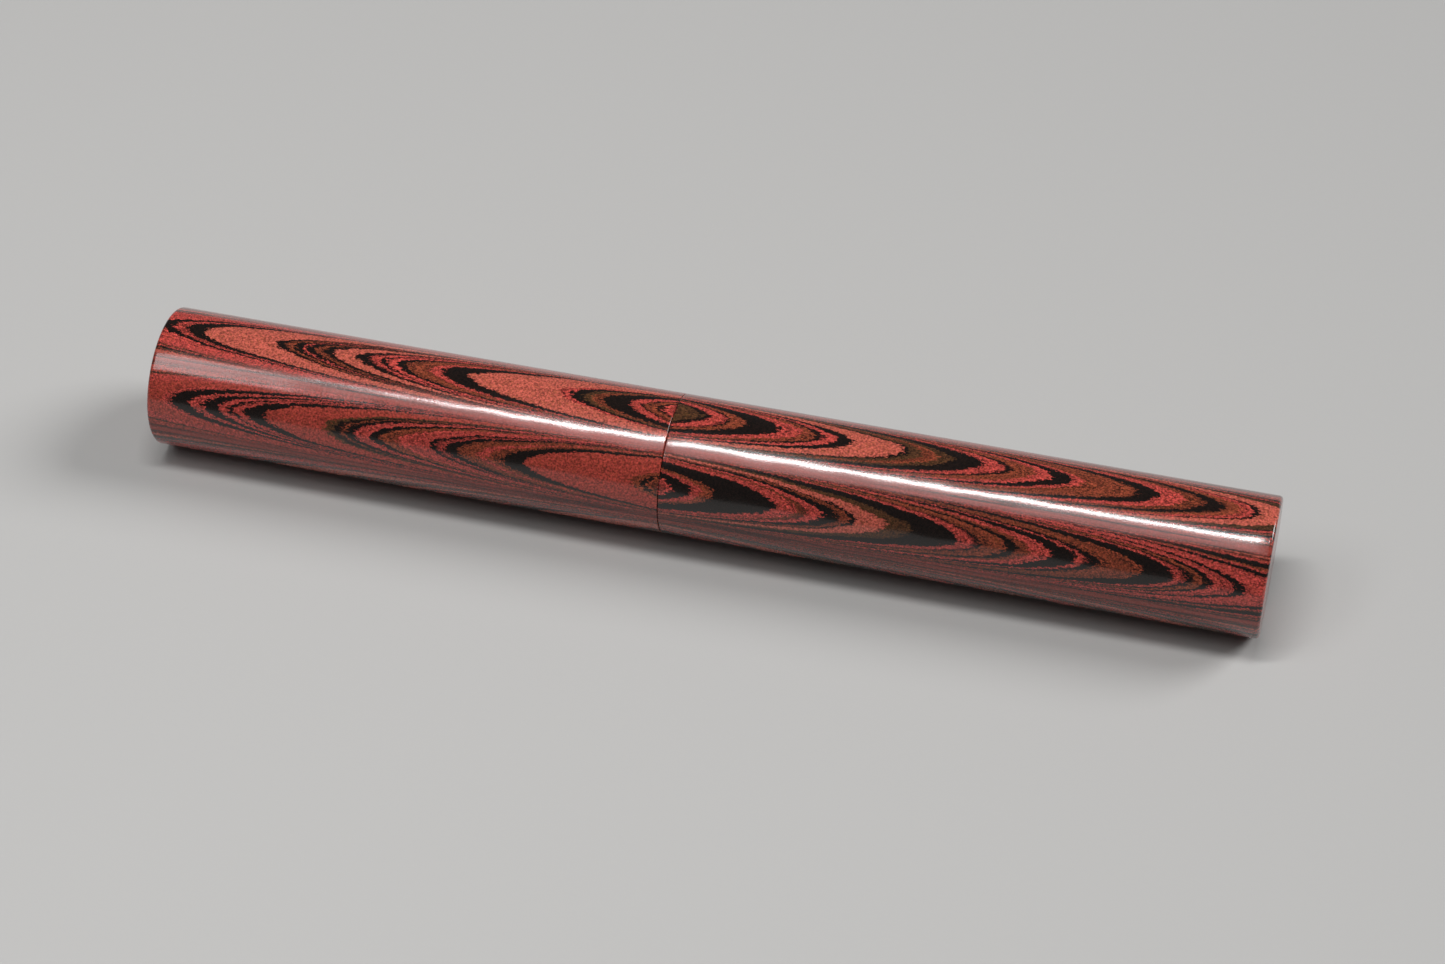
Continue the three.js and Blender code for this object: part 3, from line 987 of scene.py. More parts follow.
    # Between two rows the layers run along the pen, too thin to tell apart.
    off_middle_size = nodes.new("ShaderNodeMath")
    off_middle_size.label = "Angle either way"
    off_middle_size.parent = crowd_frame
    off_middle_size.operation = "ABSOLUTE"
    crowding = nodes.new("ShaderNodeMapRange")
    crowding.label = "Crowding"
    crowding.parent = crowd_frame
    crowding.interpolation_type = "SMOOTHSTEP"
    crowding.inputs["From Min"].default_value = math.radians(22.5)
    crowding.inputs["From Max"].default_value = math.radians(29)
    crowding.inputs["To Min"].default_value = 0.0
    crowding.inputs["To Max"].default_value = 0.72
    line_place = nodes.new("ShaderNodeVectorMath")
    line_place.label = "Drawn out along the pen"
    line_place.parent = crowd_frame
    line_place.operation = "MULTIPLY"
    line_place.inputs[1].default_value = (0.035, 1.7, 1.7)
    lines = nodes.new("ShaderNodeTexNoise")
    lines.label = "Fine lines"
    lines.parent = crowd_frame
    lines.inputs["Scale"].default_value = 1.0
    lines.inputs["Detail"].default_value = 2.0
    lines.inputs["Roughness"].default_value = 0.6
    line_colour = nodes.new("ShaderNodeValToRGB")
    line_colour.label = "Colour of the lines"
    line_colour.parent = crowd_frame
    line_colour.color_ramp.elements[0].position = 0.43
    line_colour.color_ramp.elements[0].color = (*(0.08 * channel for channel in look.maroon), 1)
    line_colour.color_ramp.elements[1].position = 0.66
    line_colour.color_ramp.elements[1].color = (*(1.4 * channel for channel in look.maroon), 1)
    line_middle = line_colour.color_ramp.elements.new(0.48)
    line_middle.color = (*(0.9 * channel for channel in look.maroon), 1)
    crowded = nodes.new("ShaderNodeMix")
    crowded.label = "Crowded layers"
    crowded.parent = crowd_frame
    crowded.data_type = "RGBA"
    links.new(off_middle.outputs[0], off_middle_size.inputs[0])
    links.new(off_middle_size.outputs[0], crowding.inputs["Value"])
    links.new(in_millimetres.outputs[0], line_place.inputs[0])
    links.new(line_place.outputs[0], lines.inputs["Vector"])
    links.new(lines.outputs["Fac"], line_colour.inputs[0])
    links.new(crowding.outputs["Result"], crowded.inputs["Factor"])
    links.new(grained.outputs["Result"], crowded.inputs["A"])
    links.new(line_colour.outputs["Color"], crowded.inputs["B"])

    # A hand polish over fine turning marks, on a surface that is very slightly wavy.
    wave_place = nodes.new("ShaderNodeVectorMath")
    wave_place.label = "Slow waves"
    wave_place.parent = polish_frame
    wave_place.operation = "MULTIPLY"
    wave_place.inputs[1].default_value = (0.14, 0.35, 0.35)
    waves = nodes.new("ShaderNodeTexNoise")
    waves.label = "Hand-worked waves"
    waves.parent = polish_frame
    waves.inputs["Scale"].default_value = 1.0
    waves.inputs["Detail"].default_value = 1.0
    wave_relief = nodes.new("ShaderNodeBump")
    wave_relief.label = "Relief of the waves"
    wave_relief.parent = polish_frame
    wave_relief.inputs["Strength"].default_value = 1.0
    wave_relief.inputs["Distance"].default_value = 0.06 * MM
    mark_place = nodes.new("ShaderNodeVectorMath")
    mark_place.label = "Round the pen"
    mark_place.parent = polish_frame
    mark_place.operation = "MULTIPLY"
    mark_place.inputs[1].default_value = (4.0, 0.10, 0.10)
    marks = nodes.new("ShaderNodeTexNoise")
    marks.label = "Turning marks"
    marks.parent = polish_frame
    marks.inputs["Scale"].default_value = 1.0
    marks.inputs["Detail"].default_value = 3.0
    mark_relief = nodes.new("ShaderNodeBump")
    mark_relief.label = "Relief of the marks"
    mark_relief.parent = polish_frame
    mark_relief.inputs["Strength"].default_value = 1.0
    mark_relief.inputs["Distance"].default_value = 0.004 * MM
    pits = nodes.new("ShaderNodeTexNoise")
    pits.label = "Fine pits"
    pits.parent = polish_frame
    pits.inputs["Scale"].default_value = 4.5
    pits.inputs["Detail"].default_value = 2.0
    pit_relief = nodes.new("ShaderNodeBump")
    pit_relief.label = "Relief of the pits"
    pit_relief.parent = polish_frame
    pit_relief.inputs["Strength"].default_value = 1.0
    pit_relief.inputs["Distance"].default_value = 0.005 * MM
    buffing = nodes.new("ShaderNodeTexNoise")
    buffing.label = "Buffing"
    buffing.parent = polish_frame
    buffing.inputs["Scale"].default_value = 2.5
    buffing.inputs["Detail"].default_value = 5.0
    buffing.inputs["Roughness"].default_value = 0.7
    gloss = nodes.new("ShaderNodeMapRange")
    gloss.label = "Roughness of the polish"
    gloss.parent = polish_frame
    gloss.inputs["From Min"].default_value = 0.3
    gloss.inputs["From Max"].default_value = 0.7
    gloss.inputs["To Min"].default_value = look.haze * 0.75
    gloss.inputs["To Max"].default_value = look.haze * 1.3
    links.new(in_millimetres.outputs[0], wave_place.inputs[0])
    links.new(wave_place.outputs[0], waves.inputs["Vector"])
    links.new(waves.outputs["Fac"], wave_relief.inputs["Height"])
    links.new(in_millimetres.outputs[0], mark_place.inputs[0])
    links.new(mark_place.outputs[0], marks.inputs["Vector"])
    links.new(marks.outputs["Fac"], mark_relief.inputs["Height"])
    links.new(wave_relief.outputs["Normal"], mark_relief.inputs["Normal"])
    links.new(in_millimetres.outputs[0], pits.inputs["Vector"])
    links.new(pits.outputs["Fac"], pit_relief.inputs["Height"])
    links.new(mark_relief.outputs["Normal"], pit_relief.inputs["Normal"])
    links.new(in_millimetres.outputs[0], buffing.inputs["Vector"])
    links.new(buffing.outputs["Fac"], gloss.inputs["Value"])

    surface = nodes.new("ShaderNodeBsdfPrincipled")
    surface.label = "Polished hard rubber"
    surface.inputs["IOR"].default_value = 1.45
    surface.inputs["Specular IOR Level"].default_value = 0.24
    surface.inputs["Coat Weight"].default_value = 0.68
    surface.inputs["Coat Roughness"].default_value = look.roughness
    surface.inputs["Coat IOR"].default_value = 1.55
    output = nodes.new("ShaderNodeOutputMaterial")
    output.label = "Surface"
    links.new(crowded.outputs["Result"], surface.inputs["Base Color"])
    links.new(gloss.outputs["Result"], surface.inputs["Roughness"])
    links.new(pit_relief.outputs["Normal"], surface.inputs["Normal"])
    links.new(pit_relief.outputs["Normal"], surface.inputs["Coat Normal"])
    links.new(surface.outputs["BSDF"], output.inputs["Surface"])

    columns = [
        (place, from_joint, in_millimetres, parts, across, depth),
        (towards_front, angle, turned_back, uneven, spaced, half_row_on, row),
        (half_row_back, off_middle, other_face, face, row_turned, row_cosine, row_lag),
        (flank_place, flank, flank_size, torn_angle),
        (quarter, freedom, freedom_left, drag, trail, trail_inside, bulge),
        (flow, lagged, tip_distance, wander_place, wander, wander_size),
        (fray_place, fray, fray_size, ragged, torn_distance, repeated, share),
        (top, front, layer, laminated),
        (lamination, dark_line, line_depth, lined, warm_place, warm_grains, warm_share),
        (tinted, grains, grain_tone, grained),
        (off_middle_size, crowding, line_place, lines, line_colour, crowded),
        (wave_place, waves, wave_relief, mark_place, marks, mark_relief),
        (pits, pit_relief, buffing, gloss),
        (surface, output),
    ]
    for column, stack in enumerate(columns):
        for level, node in enumerate(stack):
            node.location = (column * 260, -level * 220)
    return material


def black_rubber(name, colour, roughness, mark_stretch, mark_relief):
    """Black rubber with marks round the pen: polished when hard, dull when soft."""
    material = bpy.data.materials.new(name)
    material.use_nodes = True
    nodes = material.node_tree.nodes
    links = material.node_tree.links
    nodes.clear()

    tone_frame = nodes.new("NodeFrame")
    tone_frame.label = "Tone"
    relief_frame = nodes.new("NodeFrame")
    relief_frame.label = "Marks"

    place = nodes.new("ShaderNodeTexCoord")
    place.label = "Place"
    cloud = nodes.new("ShaderNodeTexNoise")
    cloud.label = "Cloudy tone"
    cloud.parent = tone_frame
    cloud.inputs["Scale"].default_value = 600
    cloud.inputs["Detail"].default_value = 4
    shade = nodes.new("ShaderNodeValToRGB")
    shade.label = "Blacks"
    shade.parent = tone_frame
    shade.color_ramp.elements[0].position = 0.35
    shade.color_ramp.elements[0].color = (*(0.7 * channel for channel in colour), 1)
    shade.color_ramp.elements[1].position = 0.7
    shade.color_ramp.elements[1].color = (*(1.5 * channel for channel in colour), 1)
    gloss = nodes.new("ShaderNodeMapRange")
    gloss.label = "Uneven gloss"
    gloss.parent = tone_frame
    gloss.inputs["From Min"].default_value = 0.3
    gloss.inputs["From Max"].default_value = 0.7
    gloss.inputs["To Min"].default_value = roughness * 0.92
    gloss.inputs["To Max"].default_value = roughness * 1.12
    stretch = nodes.new("ShaderNodeMapping")
    stretch.label = "Round the pen"
    stretch.parent = relief_frame
    stretch.inputs["Scale"].default_value = mark_stretch
    marks = nodes.new("ShaderNodeTexNoise")
    marks.label = "Turning or mould marks"
    marks.parent = relief_frame
    marks.inputs["Scale"].default_value = 1
    marks.inputs["Detail"].default_value = 3
    relief = nodes.new("ShaderNodeBump")
    relief.label = "Relief"
    relief.parent = relief_frame
    relief.inputs["Strength"].default_value = mark_relief
    relief.inputs["Distance"].default_value = 0.05 * MM
    surface = nodes.new("ShaderNodeBsdfPrincipled")
    surface.label = "Black rubber"
    surface.inputs["IOR"].default_value = 1.58
    output = nodes.new("ShaderNodeOutputMaterial")
    output.label = "Surface"

    links.new(place.outputs["Object"], cloud.inputs["Vector"])
    links.new(cloud.outputs["Fac"], shade.inputs[0])
    links.new(cloud.outputs["Fac"], gloss.inputs["Value"])
    links.new(place.outputs["Object"], stretch.inputs["Vector"])
    links.new(stretch.outputs["Vector"], marks.inputs["Vector"])
    links.new(marks.outputs["Fac"], relief.inputs["Height"])
    links.new(shade.outputs["Color"], surface.inputs["Base Color"])
    links.new(gloss.outputs["Result"], surface.inputs["Roughness"])
    links.new(relief.outputs["Normal"], surface.inputs["Normal"])
    links.new(surface.outputs["BSDF"], output.inputs["Surface"])

    columns = [(place,), (cloud, stretch), (shade, gloss, marks), (relief,), (surface,), (output,)]
    for column, stack in enumerate(columns):
        for level, node in enumerate(stack):
            node.location = (column * 260, -level * 260)
    return material


def drawn_metal(name, colour, stain, roughness, stretch_scale, relief_strength):
    """Bare metal with fine drawing lines, uneven polish and a thin stain."""
    material = bpy.data.materials.new(name)
    material.use_nodes = True
    nodes = material.node_tree.nodes
    links = material.node_tree.links
    nodes.clear()

    stain_frame = nodes.new("NodeFrame")
    stain_frame.label = "Stain"
    line_frame = nodes.new("NodeFrame")
    line_frame.label = "Drawing lines"

    place = nodes.new("ShaderNodeTexCoord")
    place.label = "Place"
    patches = nodes.new("ShaderNodeTexNoise")
    patches.label = "Patches"
    patches.parent = stain_frame
    patches.inputs["Scale"].default_value = 320
    patches.inputs["Detail"].default_value = 5
    tint = nodes.new("ShaderNodeValToRGB")
    tint.label = "Bare to stained"
    tint.parent = stain_frame
    tint.color_ramp.elements[0].position = 0.38
    tint.color_ramp.elements[0].color = (*colour, 1)
    tint.color_ramp.elements[1].position = 0.72
    tint.color_ramp.elements[1].color = (*stain, 1)
    stretch = nodes.new("ShaderNodeMapping")
    stretch.label = "Along the drawing"
    stretch.parent = line_frame
    stretch.inputs["Scale"].default_value = stretch_scale
    lines = nodes.new("ShaderNodeTexNoise")
    lines.label = "Lines"
    lines.parent = line_frame
    lines.inputs["Scale"].default_value = 1
    lines.inputs["Detail"].default_value = 4
    lines.inputs["Roughness"].default_value = 0.65
    polish = nodes.new("ShaderNodeMapRange")
    polish.label = "Uneven polish"
    polish.parent = line_frame
    polish.inputs["From Min"].default_value = 0.3
    polish.inputs["From Max"].default_value = 0.7
    polish.inputs["To Min"].default_value = roughness * 0.82
    polish.inputs["To Max"].default_value = roughness * 1.22
    relief = nodes.new("ShaderNodeBump")
    relief.label = "Relief of the lines"
    relief.parent = line_frame
    relief.inputs["Strength"].default_value = relief_strength
    relief.inputs["Distance"].default_value = 0.03 * MM
    surface = nodes.new("ShaderNodeBsdfPrincipled")
    surface.label = "Metal"
    surface.inputs["Metallic"].default_value = 1
    output = nodes.new("ShaderNodeOutputMaterial")
    output.label = "Surface"

    links.new(place.outputs["Object"], patches.inputs["Vector"])
    links.new(patches.outputs["Fac"], tint.inputs[0])
    links.new(place.outputs["Object"], stretch.inputs["Vector"])
    links.new(stretch.outputs["Vector"], lines.inputs["Vector"])
    links.new(lines.outputs["Fac"], polish.inputs["Value"])
    links.new(lines.outputs["Fac"], relief.inputs["Height"])
    links.new(tint.outputs["Color"], surface.inputs["Base Color"])
    links.new(polish.outputs["Result"], surface.inputs["Roughness"])
    links.new(relief.outputs["Normal"], surface.inputs["Normal"])
    links.new(surface.outputs["BSDF"], output.inputs["Surface"])

    columns = [(place,), (patches, stretch), (tint, lines), (polish, relief), (surface,), (output,)]
    for column, stack in enumerate(columns):
        for level, node in enumerate(stack):
            node.location = (column * 260, -level * 260)
    return material


def pale_floor(colour):
    """A plain pale board with a barely visible tooth."""
    material = bpy.data.materials.new("Pale floor")
    material.use_nodes = True
    nodes = material.node_tree.nodes
    links = material.node_tree.links
    nodes.clear()

    place = nodes.new("ShaderNodeTexCoord")
    place.label = "Place"
    tooth = nodes.new("ShaderNodeTexNoise")
    tooth.label = "Tooth"
    tooth.inputs["Scale"].default_value = 900
    relief = nodes.new("ShaderNodeBump")
    relief.label = "Faint tooth"
    relief.inputs["Strength"].default_value = 0.1
    relief.inputs["Distance"].default_value = 0.1 * MM
    surface = nodes.new("ShaderNodeBsdfPrincipled")
    surface.label = "Matt board"
    surface.inputs["Base Color"].default_value = (*colour, 1)
    surface.inputs["Roughness"].default_value = 0.75
    output = nodes.new("ShaderNodeOutputMaterial")
    output.label = "Surface"
    links.new(place.outputs["Object"], tooth.inputs["Vector"])
    links.new(tooth.outputs["Fac"], relief.inputs["Height"])
    links.new(relief.outputs["Normal"], surface.inputs["Normal"])
    links.new(surface.outputs["BSDF"], output.inputs["Surface"])
    for column, node in enumerate((place, tooth, relief, surface, output)):
        node.location = (column * 260, 0)
    return material


# ---------------------------------------------------------------- the turned shells


class DIPPEN_OT_cap(bpy.types.Operator):
    """Turn the cap: one piece with a closed end, a bore and a wider mouth"""

    bl_idname = "dippen.cap"
    bl_label = "Cap"

    def execute(self, context):
        sizes = context.scene.pen_sizes
        bore_end = CAP_LENGTH - sizes.cap_end_wall
        rows = outline(
            [
                (bore_end, 0, 0),
                (bore_end - 0.6 * MM, sizes.cap_bore, 0.8 * MM),
                (sizes.cap_mouth_depth + 0.8 * MM, sizes.cap_bore, 0.2 * MM),
                (sizes.cap_mouth_depth, sizes.cap_mouth, 0.1 * MM),
                (SEAM_GAP, sizes.cap_mouth, sizes.rim_edge),
                (SEAM_GAP, BODY_RADIUS, sizes.rim_edge),
                (CAP_LENGTH, BODY_RADIUS, sizes.end_edge),
                (CAP_LENGTH, 0, 0),
            ]
        )
        cap = turned("cap", rows, SHELL_SIDES)
        look = context.scene.grain_look
        rubber = rippled_rubber("Rippled rubber, cap", look, -1, CAP_TOP_LAYERS, CAP_FRONT_LAYERS)
        placed(cap, "cap_shell", "cap", rubber)
        return {"FINISHED"}


class DIPPEN_OT_barrel(bpy.types.Operator):
    """Turn the barrel: one piece with a closed end, a bore and a threaded mouth"""

    bl_idname = "dippen.barrel"
    bl_label = "Barrel"

    def execute(self, context):
        sizes = context.scene.pen_sizes
        bore_end = BARREL_END_WALL - BARREL_LENGTH
        tapped_root = THREAD_ROOT + THREAD_CLEARANCE
        outside = outline(
            [
                (-BARREL_LENGTH, 0, 0),
                (-BARREL_LENGTH, BODY_RADIUS, sizes.end_edge),
                (0, BODY_RADIUS, sizes.rim_edge),
                (0, SEAL_SEAT_RADIUS, 0.08 * MM),
                (-SEAL_SEAT_DEPTH, SEAL_SEAT_RADIUS, 0.08 * MM),
                (-SEAL_SEAT_DEPTH, tapped_root, 0),
            ]
        )
        thread = thread_rows(-TAPPED_LENGTH, -SEAL_SEAT_DEPTH, tapped_root, 0.6 * MM, 0.15 * MM)
        bore = outline(
            [
                (-TAPPED_LENGTH - 0.1 * MM, BARREL_BORE, 0),
                (bore_end + 2.4 * MM, BARREL_BORE, 0.5 * MM),
                (bore_end, 0, 0),
            ]
        )
        rows = outside[:-1] + thread[::-1] + bore
        barrel = turned("barrel", rows, SHELL_SIDES, widening=GROOVE_WIDENING)
        look = context.scene.grain_look
        rubber = rippled_rubber(
            "Rippled rubber, barrel", look, 1, BARREL_TOP_LAYERS, BARREL_FRONT_LAYERS
        )
        placed(barrel, "barrel_shell", "barrel", rubber)
        return {"FINISHED"}


class DIPPEN_OT_grip(bpy.types.Operator):
    """Turn the grip section: threaded tenon, collar with its groove, waisted grip and bore"""

    bl_idname = "dippen.grip"
    bl_label = "Grip section"

    def execute(self, context):
        waist_radius = context.scene.pen_sizes.grip_waist
        tenon = outline([(-TENON_LENGTH, 0, 0), (-TENON_LENGTH, THREAD_ROOT - 0.25 * MM, 0)])
        thread = thread_rows(
            0.25 * MM - TENON_LENGTH, -RELIEF_LENGTH, THREAD_ROOT, 0.8 * MM, 0.2 * MM
        )
        collar = outline(
            [
                (-RELIEF_LENGTH + 0.1 * MM, RELIEF_RADIUS, 0),
                (FLANGE_GAP, RELIEF_RADIUS, 0.1 * MM),
                (FLANGE_GAP, COLLAR_RADIUS, 0.15 * MM),
                (GROOVE_REAR, COLLAR_RADIUS, 0.08 * MM),
                (GROOVE_REAR, GROOVE_RADIUS, 0.1 * MM),
                (GROOVE_FRONT, GROOVE_RADIUS, 0.1 * MM),
                (GROOVE_FRONT, COLLAR_RADIUS, 0.08 * MM),
                (COLLAR_LENGTH - 0.2 * MM, COLLAR_RADIUS, 0.45 * MM),
                (COLLAR_LENGTH + 0.7 * MM, 5.62 * MM, 0.5 * MM),
                (9.4 * MM, 5.5 * MM, 0),
            ]
        )
        waist = smooth_curve(
            [
                (9.4 * MM, 5.5 * MM),
                (13 * MM, 5.15 * MM),
                (18 * MM, waist_radius + 0.05 * MM),
                (22 * MM, waist_radius),
                (25.2 * MM, 5.08 * MM),
            ],
            8,
        )
        mouth = outline(
            [
                (25.4 * MM, 5.1 * MM, 0),
                (26.3 * MM, 5.2 * MM, 0.3 * MM),
                (GRIP_FRONT, 4.9 * MM, 0.45 * MM),
                (GRIP_FRONT, FERRULE_BORE, 0.08 * MM),
                (FERRULE_BORE_REAR, FERRULE_BORE, 0.1 * MM),
                (FERRULE_BORE_REAR - DRILL_POINT, 0, 0),
            ]
        )
        rows = tenon + thread + collar[:-1] + [(p.x, p.y, 0.0) for p in waist] + mouth
        grip = turned("grip", rows, INNER_SIDES)
        rubber = black_rubber(
            "Black hard rubber", (0.011, 0.010, 0.009), 0.16, (7000, 400, 400), 0.10
        )
        placed(grip, "grip_section", "section", rubber)
        return {"FINISHED"}


class DIPPEN_OT_rings(bpy.types.Operator):
    """Mould the two soft rings, each with the faint line where its mould closes"""

    bl_idname = "dippen.rings"
    bl_label = "Rings"

    def execute(self, context):
        rubber = black_rubber(
            "Soft black rubber", (0.016, 0.016, 0.017), 0.52, (1500, 1500, 1500), 0.25
        )
        for name, node, body in (
            ("cap_ring", "cap_friction_ring", "section"),
            ("seal_ring", "section_seal_ring", "screw_carrier"),
        ):
            low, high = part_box(node)
            cord = (high.x - low.x) / 2
            centre_along = JOINT_X - (high.x + low.x) / 2
            centre_radius = (high.z - low.z) / 2 - cord
            mould_line = 0.02 * MM
            rows = []
            steps = 48
            for step in range(steps):
                angle = 2 * math.pi * step / steps
                # An even, high power leaves a narrow line outside and inside the ring.
                reach = cord - mould_line * (1 - math.cos(angle) ** 60)
                rows.append(
                    (
                        centre_along + reach * math.sin(angle),
                        centre_radius + reach * math.cos(angle),
                        0.0,
                    )
                )
            ring = turned(name, rows, INNER_SIDES, closed=True)
            placed(ring, node, body, rubber)
        return {"FINISHED"}


# ---------------------------------------------------------------- the metal pieces


class DIPPEN_OT_ferrule(bpy.types.Operator):
    """Draw the ferrule: a brass sleeve with a rolled rim, and the sprung claws inside it"""

    bl_idname = "dippen.ferrule"
    bl_label = "Ferrule"

    def execute(self, context):
        self.sleeve()
        self.claws()
        return {"FINISHED"}

    def sleeve(self):
        inner = SLEEVE_RADIUS - SLEEVE_WALL
        rim_rear = SLEEVE_FRONT - SLEEVE_RIM_THICKNESS
        rows = outline(
            [
                (SLEEVE_REAR, inner, 0.1 * MM),
                (SLEEVE_REAR, SLEEVE_RADIUS, 0.1 * MM),
                (rim_rear, SLEEVE_RADIUS, 0.03 * MM),
                (rim_rear, SLEEVE_RIM, 0.2 * MM),
                (SLEEVE_FRONT, SLEEVE_RIM, 0.22 * MM),
                (SLEEVE_FRONT, SLEEVE_RADIUS - 0.05 * MM, 0.12 * MM),
                (rim_rear, inner, 0.3 * MM),
            ],
            closed=True,
        )
        sleeve = turned("ferrule_tube", rows, INNER_SIDES, closed=True)
        brass = drawn_metal(
            "Drawn brass", (0.74, 0.53, 0.24), (0.50, 0.32, 0.13), 0.2, (500, 5000, 5000), 0.2
        )
        placed(sleeve, "ferrule_sleeve", "section", brass)

    def claws(self):
        wall = 0.28 * MM
        leaf_columns = 12
        slot_columns = 4
        slot_half_angle = math.radians(11.5)
        root = 1.6 * MM
        leaf_rounding = 1.3 * MM
        rounding_start = 0.7
        middle_radius = smooth_curve(
            [
                (CLAWS_REAR + wall / 2, 3.18 * MM),
                (CLAWS_REAR + 0.8 * MM, 3.16 * MM),
                (CLAWS_REAR + 1.5 * MM, 2.75 * MM),
                (CLAWS_REAR + 3.8 * MM, 2.71 * MM),
                (CLAWS_REAR + 6.8 * MM, 2.80 * MM),
                (CLAWS_REAR + 9.5 * MM, 2.70 * MM),
                (CLAWS_TIP - wall / 2, 2.36 * MM),
            ],
            10,
        )
        quarter = math.pi / 2
        angles = []
        for leaf in range(4):
            middle = leaf * quarter
            half_leaf = quarter / 2 - slot_half_angle
            for column in range(leaf_columns):
                angles.append((middle, half_leaf * (2 * column / leaf_columns - 1)))
            for column in range(slot_columns):
                angles.append((middle, half_leaf + 2 * slot_half_angle * column / slot_columns))
        shape = bmesh.new()
        rows = []
        for point in middle_radius:
            forward = (point.x - CLAWS_REAR) / (CLAWS_TIP - CLAWS_REAR)
            row = []
            for middle, offset in angles:
                share = min(1, abs(offset) / (quarter / 2 - slot_half_angle))
                rounded = max(0, forward - rounding_start) / (1 - rounding_start)
                round_back = leaf_rounding * share**4 * rounded
                row.append(
                    shape.verts.new(pen_point(point.x - round_back, point.y, middle + offset))
                )
            rows.append(row)
        columns = len(angles)
        for row, (near, far) in enumerate(zip(rows, rows[1:])):
            for column in range(columns):
                in_slot = column % (leaf_columns + slot_columns) >= leaf_columns
                if in_slot and middle_radius[row].x - CLAWS_REAR > root:
                    continue
                beyond = (column + 1) % columns
                shape.faces.new((near[column], near[beyond], far[beyond], far[column]))
        loose = [vertex for vertex in shape.verts if not vertex.link_faces]
        bmesh.ops.delete(shape, geom=loose, context="VERTS")
        claws = thickened(finished("ferrule_leaves", shape), wall, 0.05 * MM)
        steel = drawn_metal(
            "Spring steel", (0.47, 0.47, 0.48), (0.30, 0.29, 0.28), 0.3, (400, 4000, 4000), 0.25
        )
        placed(claws, "ferrule_claws", "section", steel)


class DIPPEN_OT_nib(bpy.types.Operator):
    """Press the nib: an arched steel sheet with a vent, side slits and a slit to the point"""

    bl_idname = "dippen.nib"
    bl_label = "Nib"

    def half_width(self, along):
        if along < NIB_REAR + NIB_CORNER:
            corner = min(1, (NIB_REAR + NIB_CORNER - along) / NIB_CORNER)
            return NIB_HALF_WIDTH - NIB_CORNER * (1 - math.sqrt(1 - corner**2))
        taper = min(1, max(0, (along - NIB_SHOULDER) / (NIB_POINT - NIB_SHOULDER)))
        share = (1 - taper**1.7) ** 1.35
        return NIB_POINT_HALF_WIDTH + (NIB_HALF_WIDTH - NIB_POINT_HALF_WIDTH) * share

    def half_gap(self, along):
        past_vent = along - VENT_ALONG
        if past_vent <= -VENT_RADIUS:
            return 0.0
        vent = math.sqrt(max(0, VENT_RADIUS**2 - past_vent**2))
        return max(vent, SLIT_HALF_WIDTH) if past_vent > 0 else vent

    def sheet_point(self, along, across):
        forward = min(1, max(0, (along - GRIP_FRONT) / (NIB_POINT - GRIP_FRONT)))
        forward = forward * forward * (3 - 2 * forward)
        arch = NIB_ARCH + (NIB_POINT_ARCH - NIB_ARCH) * forward
        fall = max(0, (along - NIB_SHOULDER) / (NIB_POINT - NIB_SHOULDER)) ** 2
        crown = NIB_ARCH - NIB_DROP * fall
        angle = across / arch
        height = crown - arch + arch * math.cos(angle)
        return Vector((JOINT_X - along, arch * math.sin(angle), AXIS_HEIGHT + height))

    def stations(self):
        steps = 110
        plain = [NIB_REAR + (NIB_POINT - NIB_REAR) * step / steps for step in range(steps + 1)]
        corner = [NIB_REAR + NIB_CORNER * (1 - math.cos(math.pi * k / 16)) for k in range(1, 8)]
        vent = [VENT_ALONG - VENT_RADIUS * math.cos(math.pi * k / 20) for k in range(21)]
        clear = VENT_RADIUS + 0.05 * MM
        plain = [s for s in plain if abs(s - VENT_ALONG) > clear]
        plain = [s for s in plain if not NIB_REAR < s < NIB_REAR + NIB_CORNER]
        return sorted(plain + corner + vent)

    def execute(self, context):
        side_slit = (0.47, 0.53)
        shares = [0, 0.06, 0.14, 0.24, 0.36, *side_slit, 0.64, 0.76, 0.87, 0.95, 1]
        slit_column = shares.index(side_slit[0])
        stations = self.stations()
        shape = bmesh.new()
        for side in (-1, 1):
            rows = []
            for along in stations:
                gap = self.half_gap(along)
                width = self.half_width(along)
                row = []
                for share in shares:
                    across = side * (gap + (width - gap) * share)
                    row.append(shape.verts.new(self.sheet_point(along, across)))
                rows.append(row)
            for along, near, far in zip(stations, rows, rows[1:]):
                slit = SIDE_SLIT_REAR < along < SIDE_SLIT_FRONT
                for column in range(len(shares) - 1):
                    if slit and column == slit_column:
                        continue
                    shape.faces.new((near[column], near[column + 1], far[column + 1], far[column]))
        bmesh.ops.remove_doubles(shape, verts=shape.verts, dist=1e-7)
        loose = [vertex for vertex in shape.verts if not vertex.link_faces]
        bmesh.ops.delete(shape, geom=loose, context="VERTS")
        nib = thickened(finished("pen_nib", shape), NIB_SHEET, 0.05 * MM)
        steel = drawn_metal(
            "Nib steel", (0.45, 0.42, 0.39), (0.34, 0.30, 0.26), 0.24, (3500, 300, 300), 0.1
        )
        placed(nib, "nib", "nib", steel)
        return {"FINISHED"}


# ---------------------------------------------------------------- the stage


LIGHT_DISTANCE = 0.6  # from the pen to the long lights and the sheen light


def light_matrix(place, across, upright, backwards):
    """The matrix of a light at a place, with its own X, Y and Z axes."""
    matrix = Matrix.Identity(4)
    for column, axis in enumerate((across, upright, backwards, place)):
        for row in range(3):
            matrix[row][column] = axis[row]
    return matrix


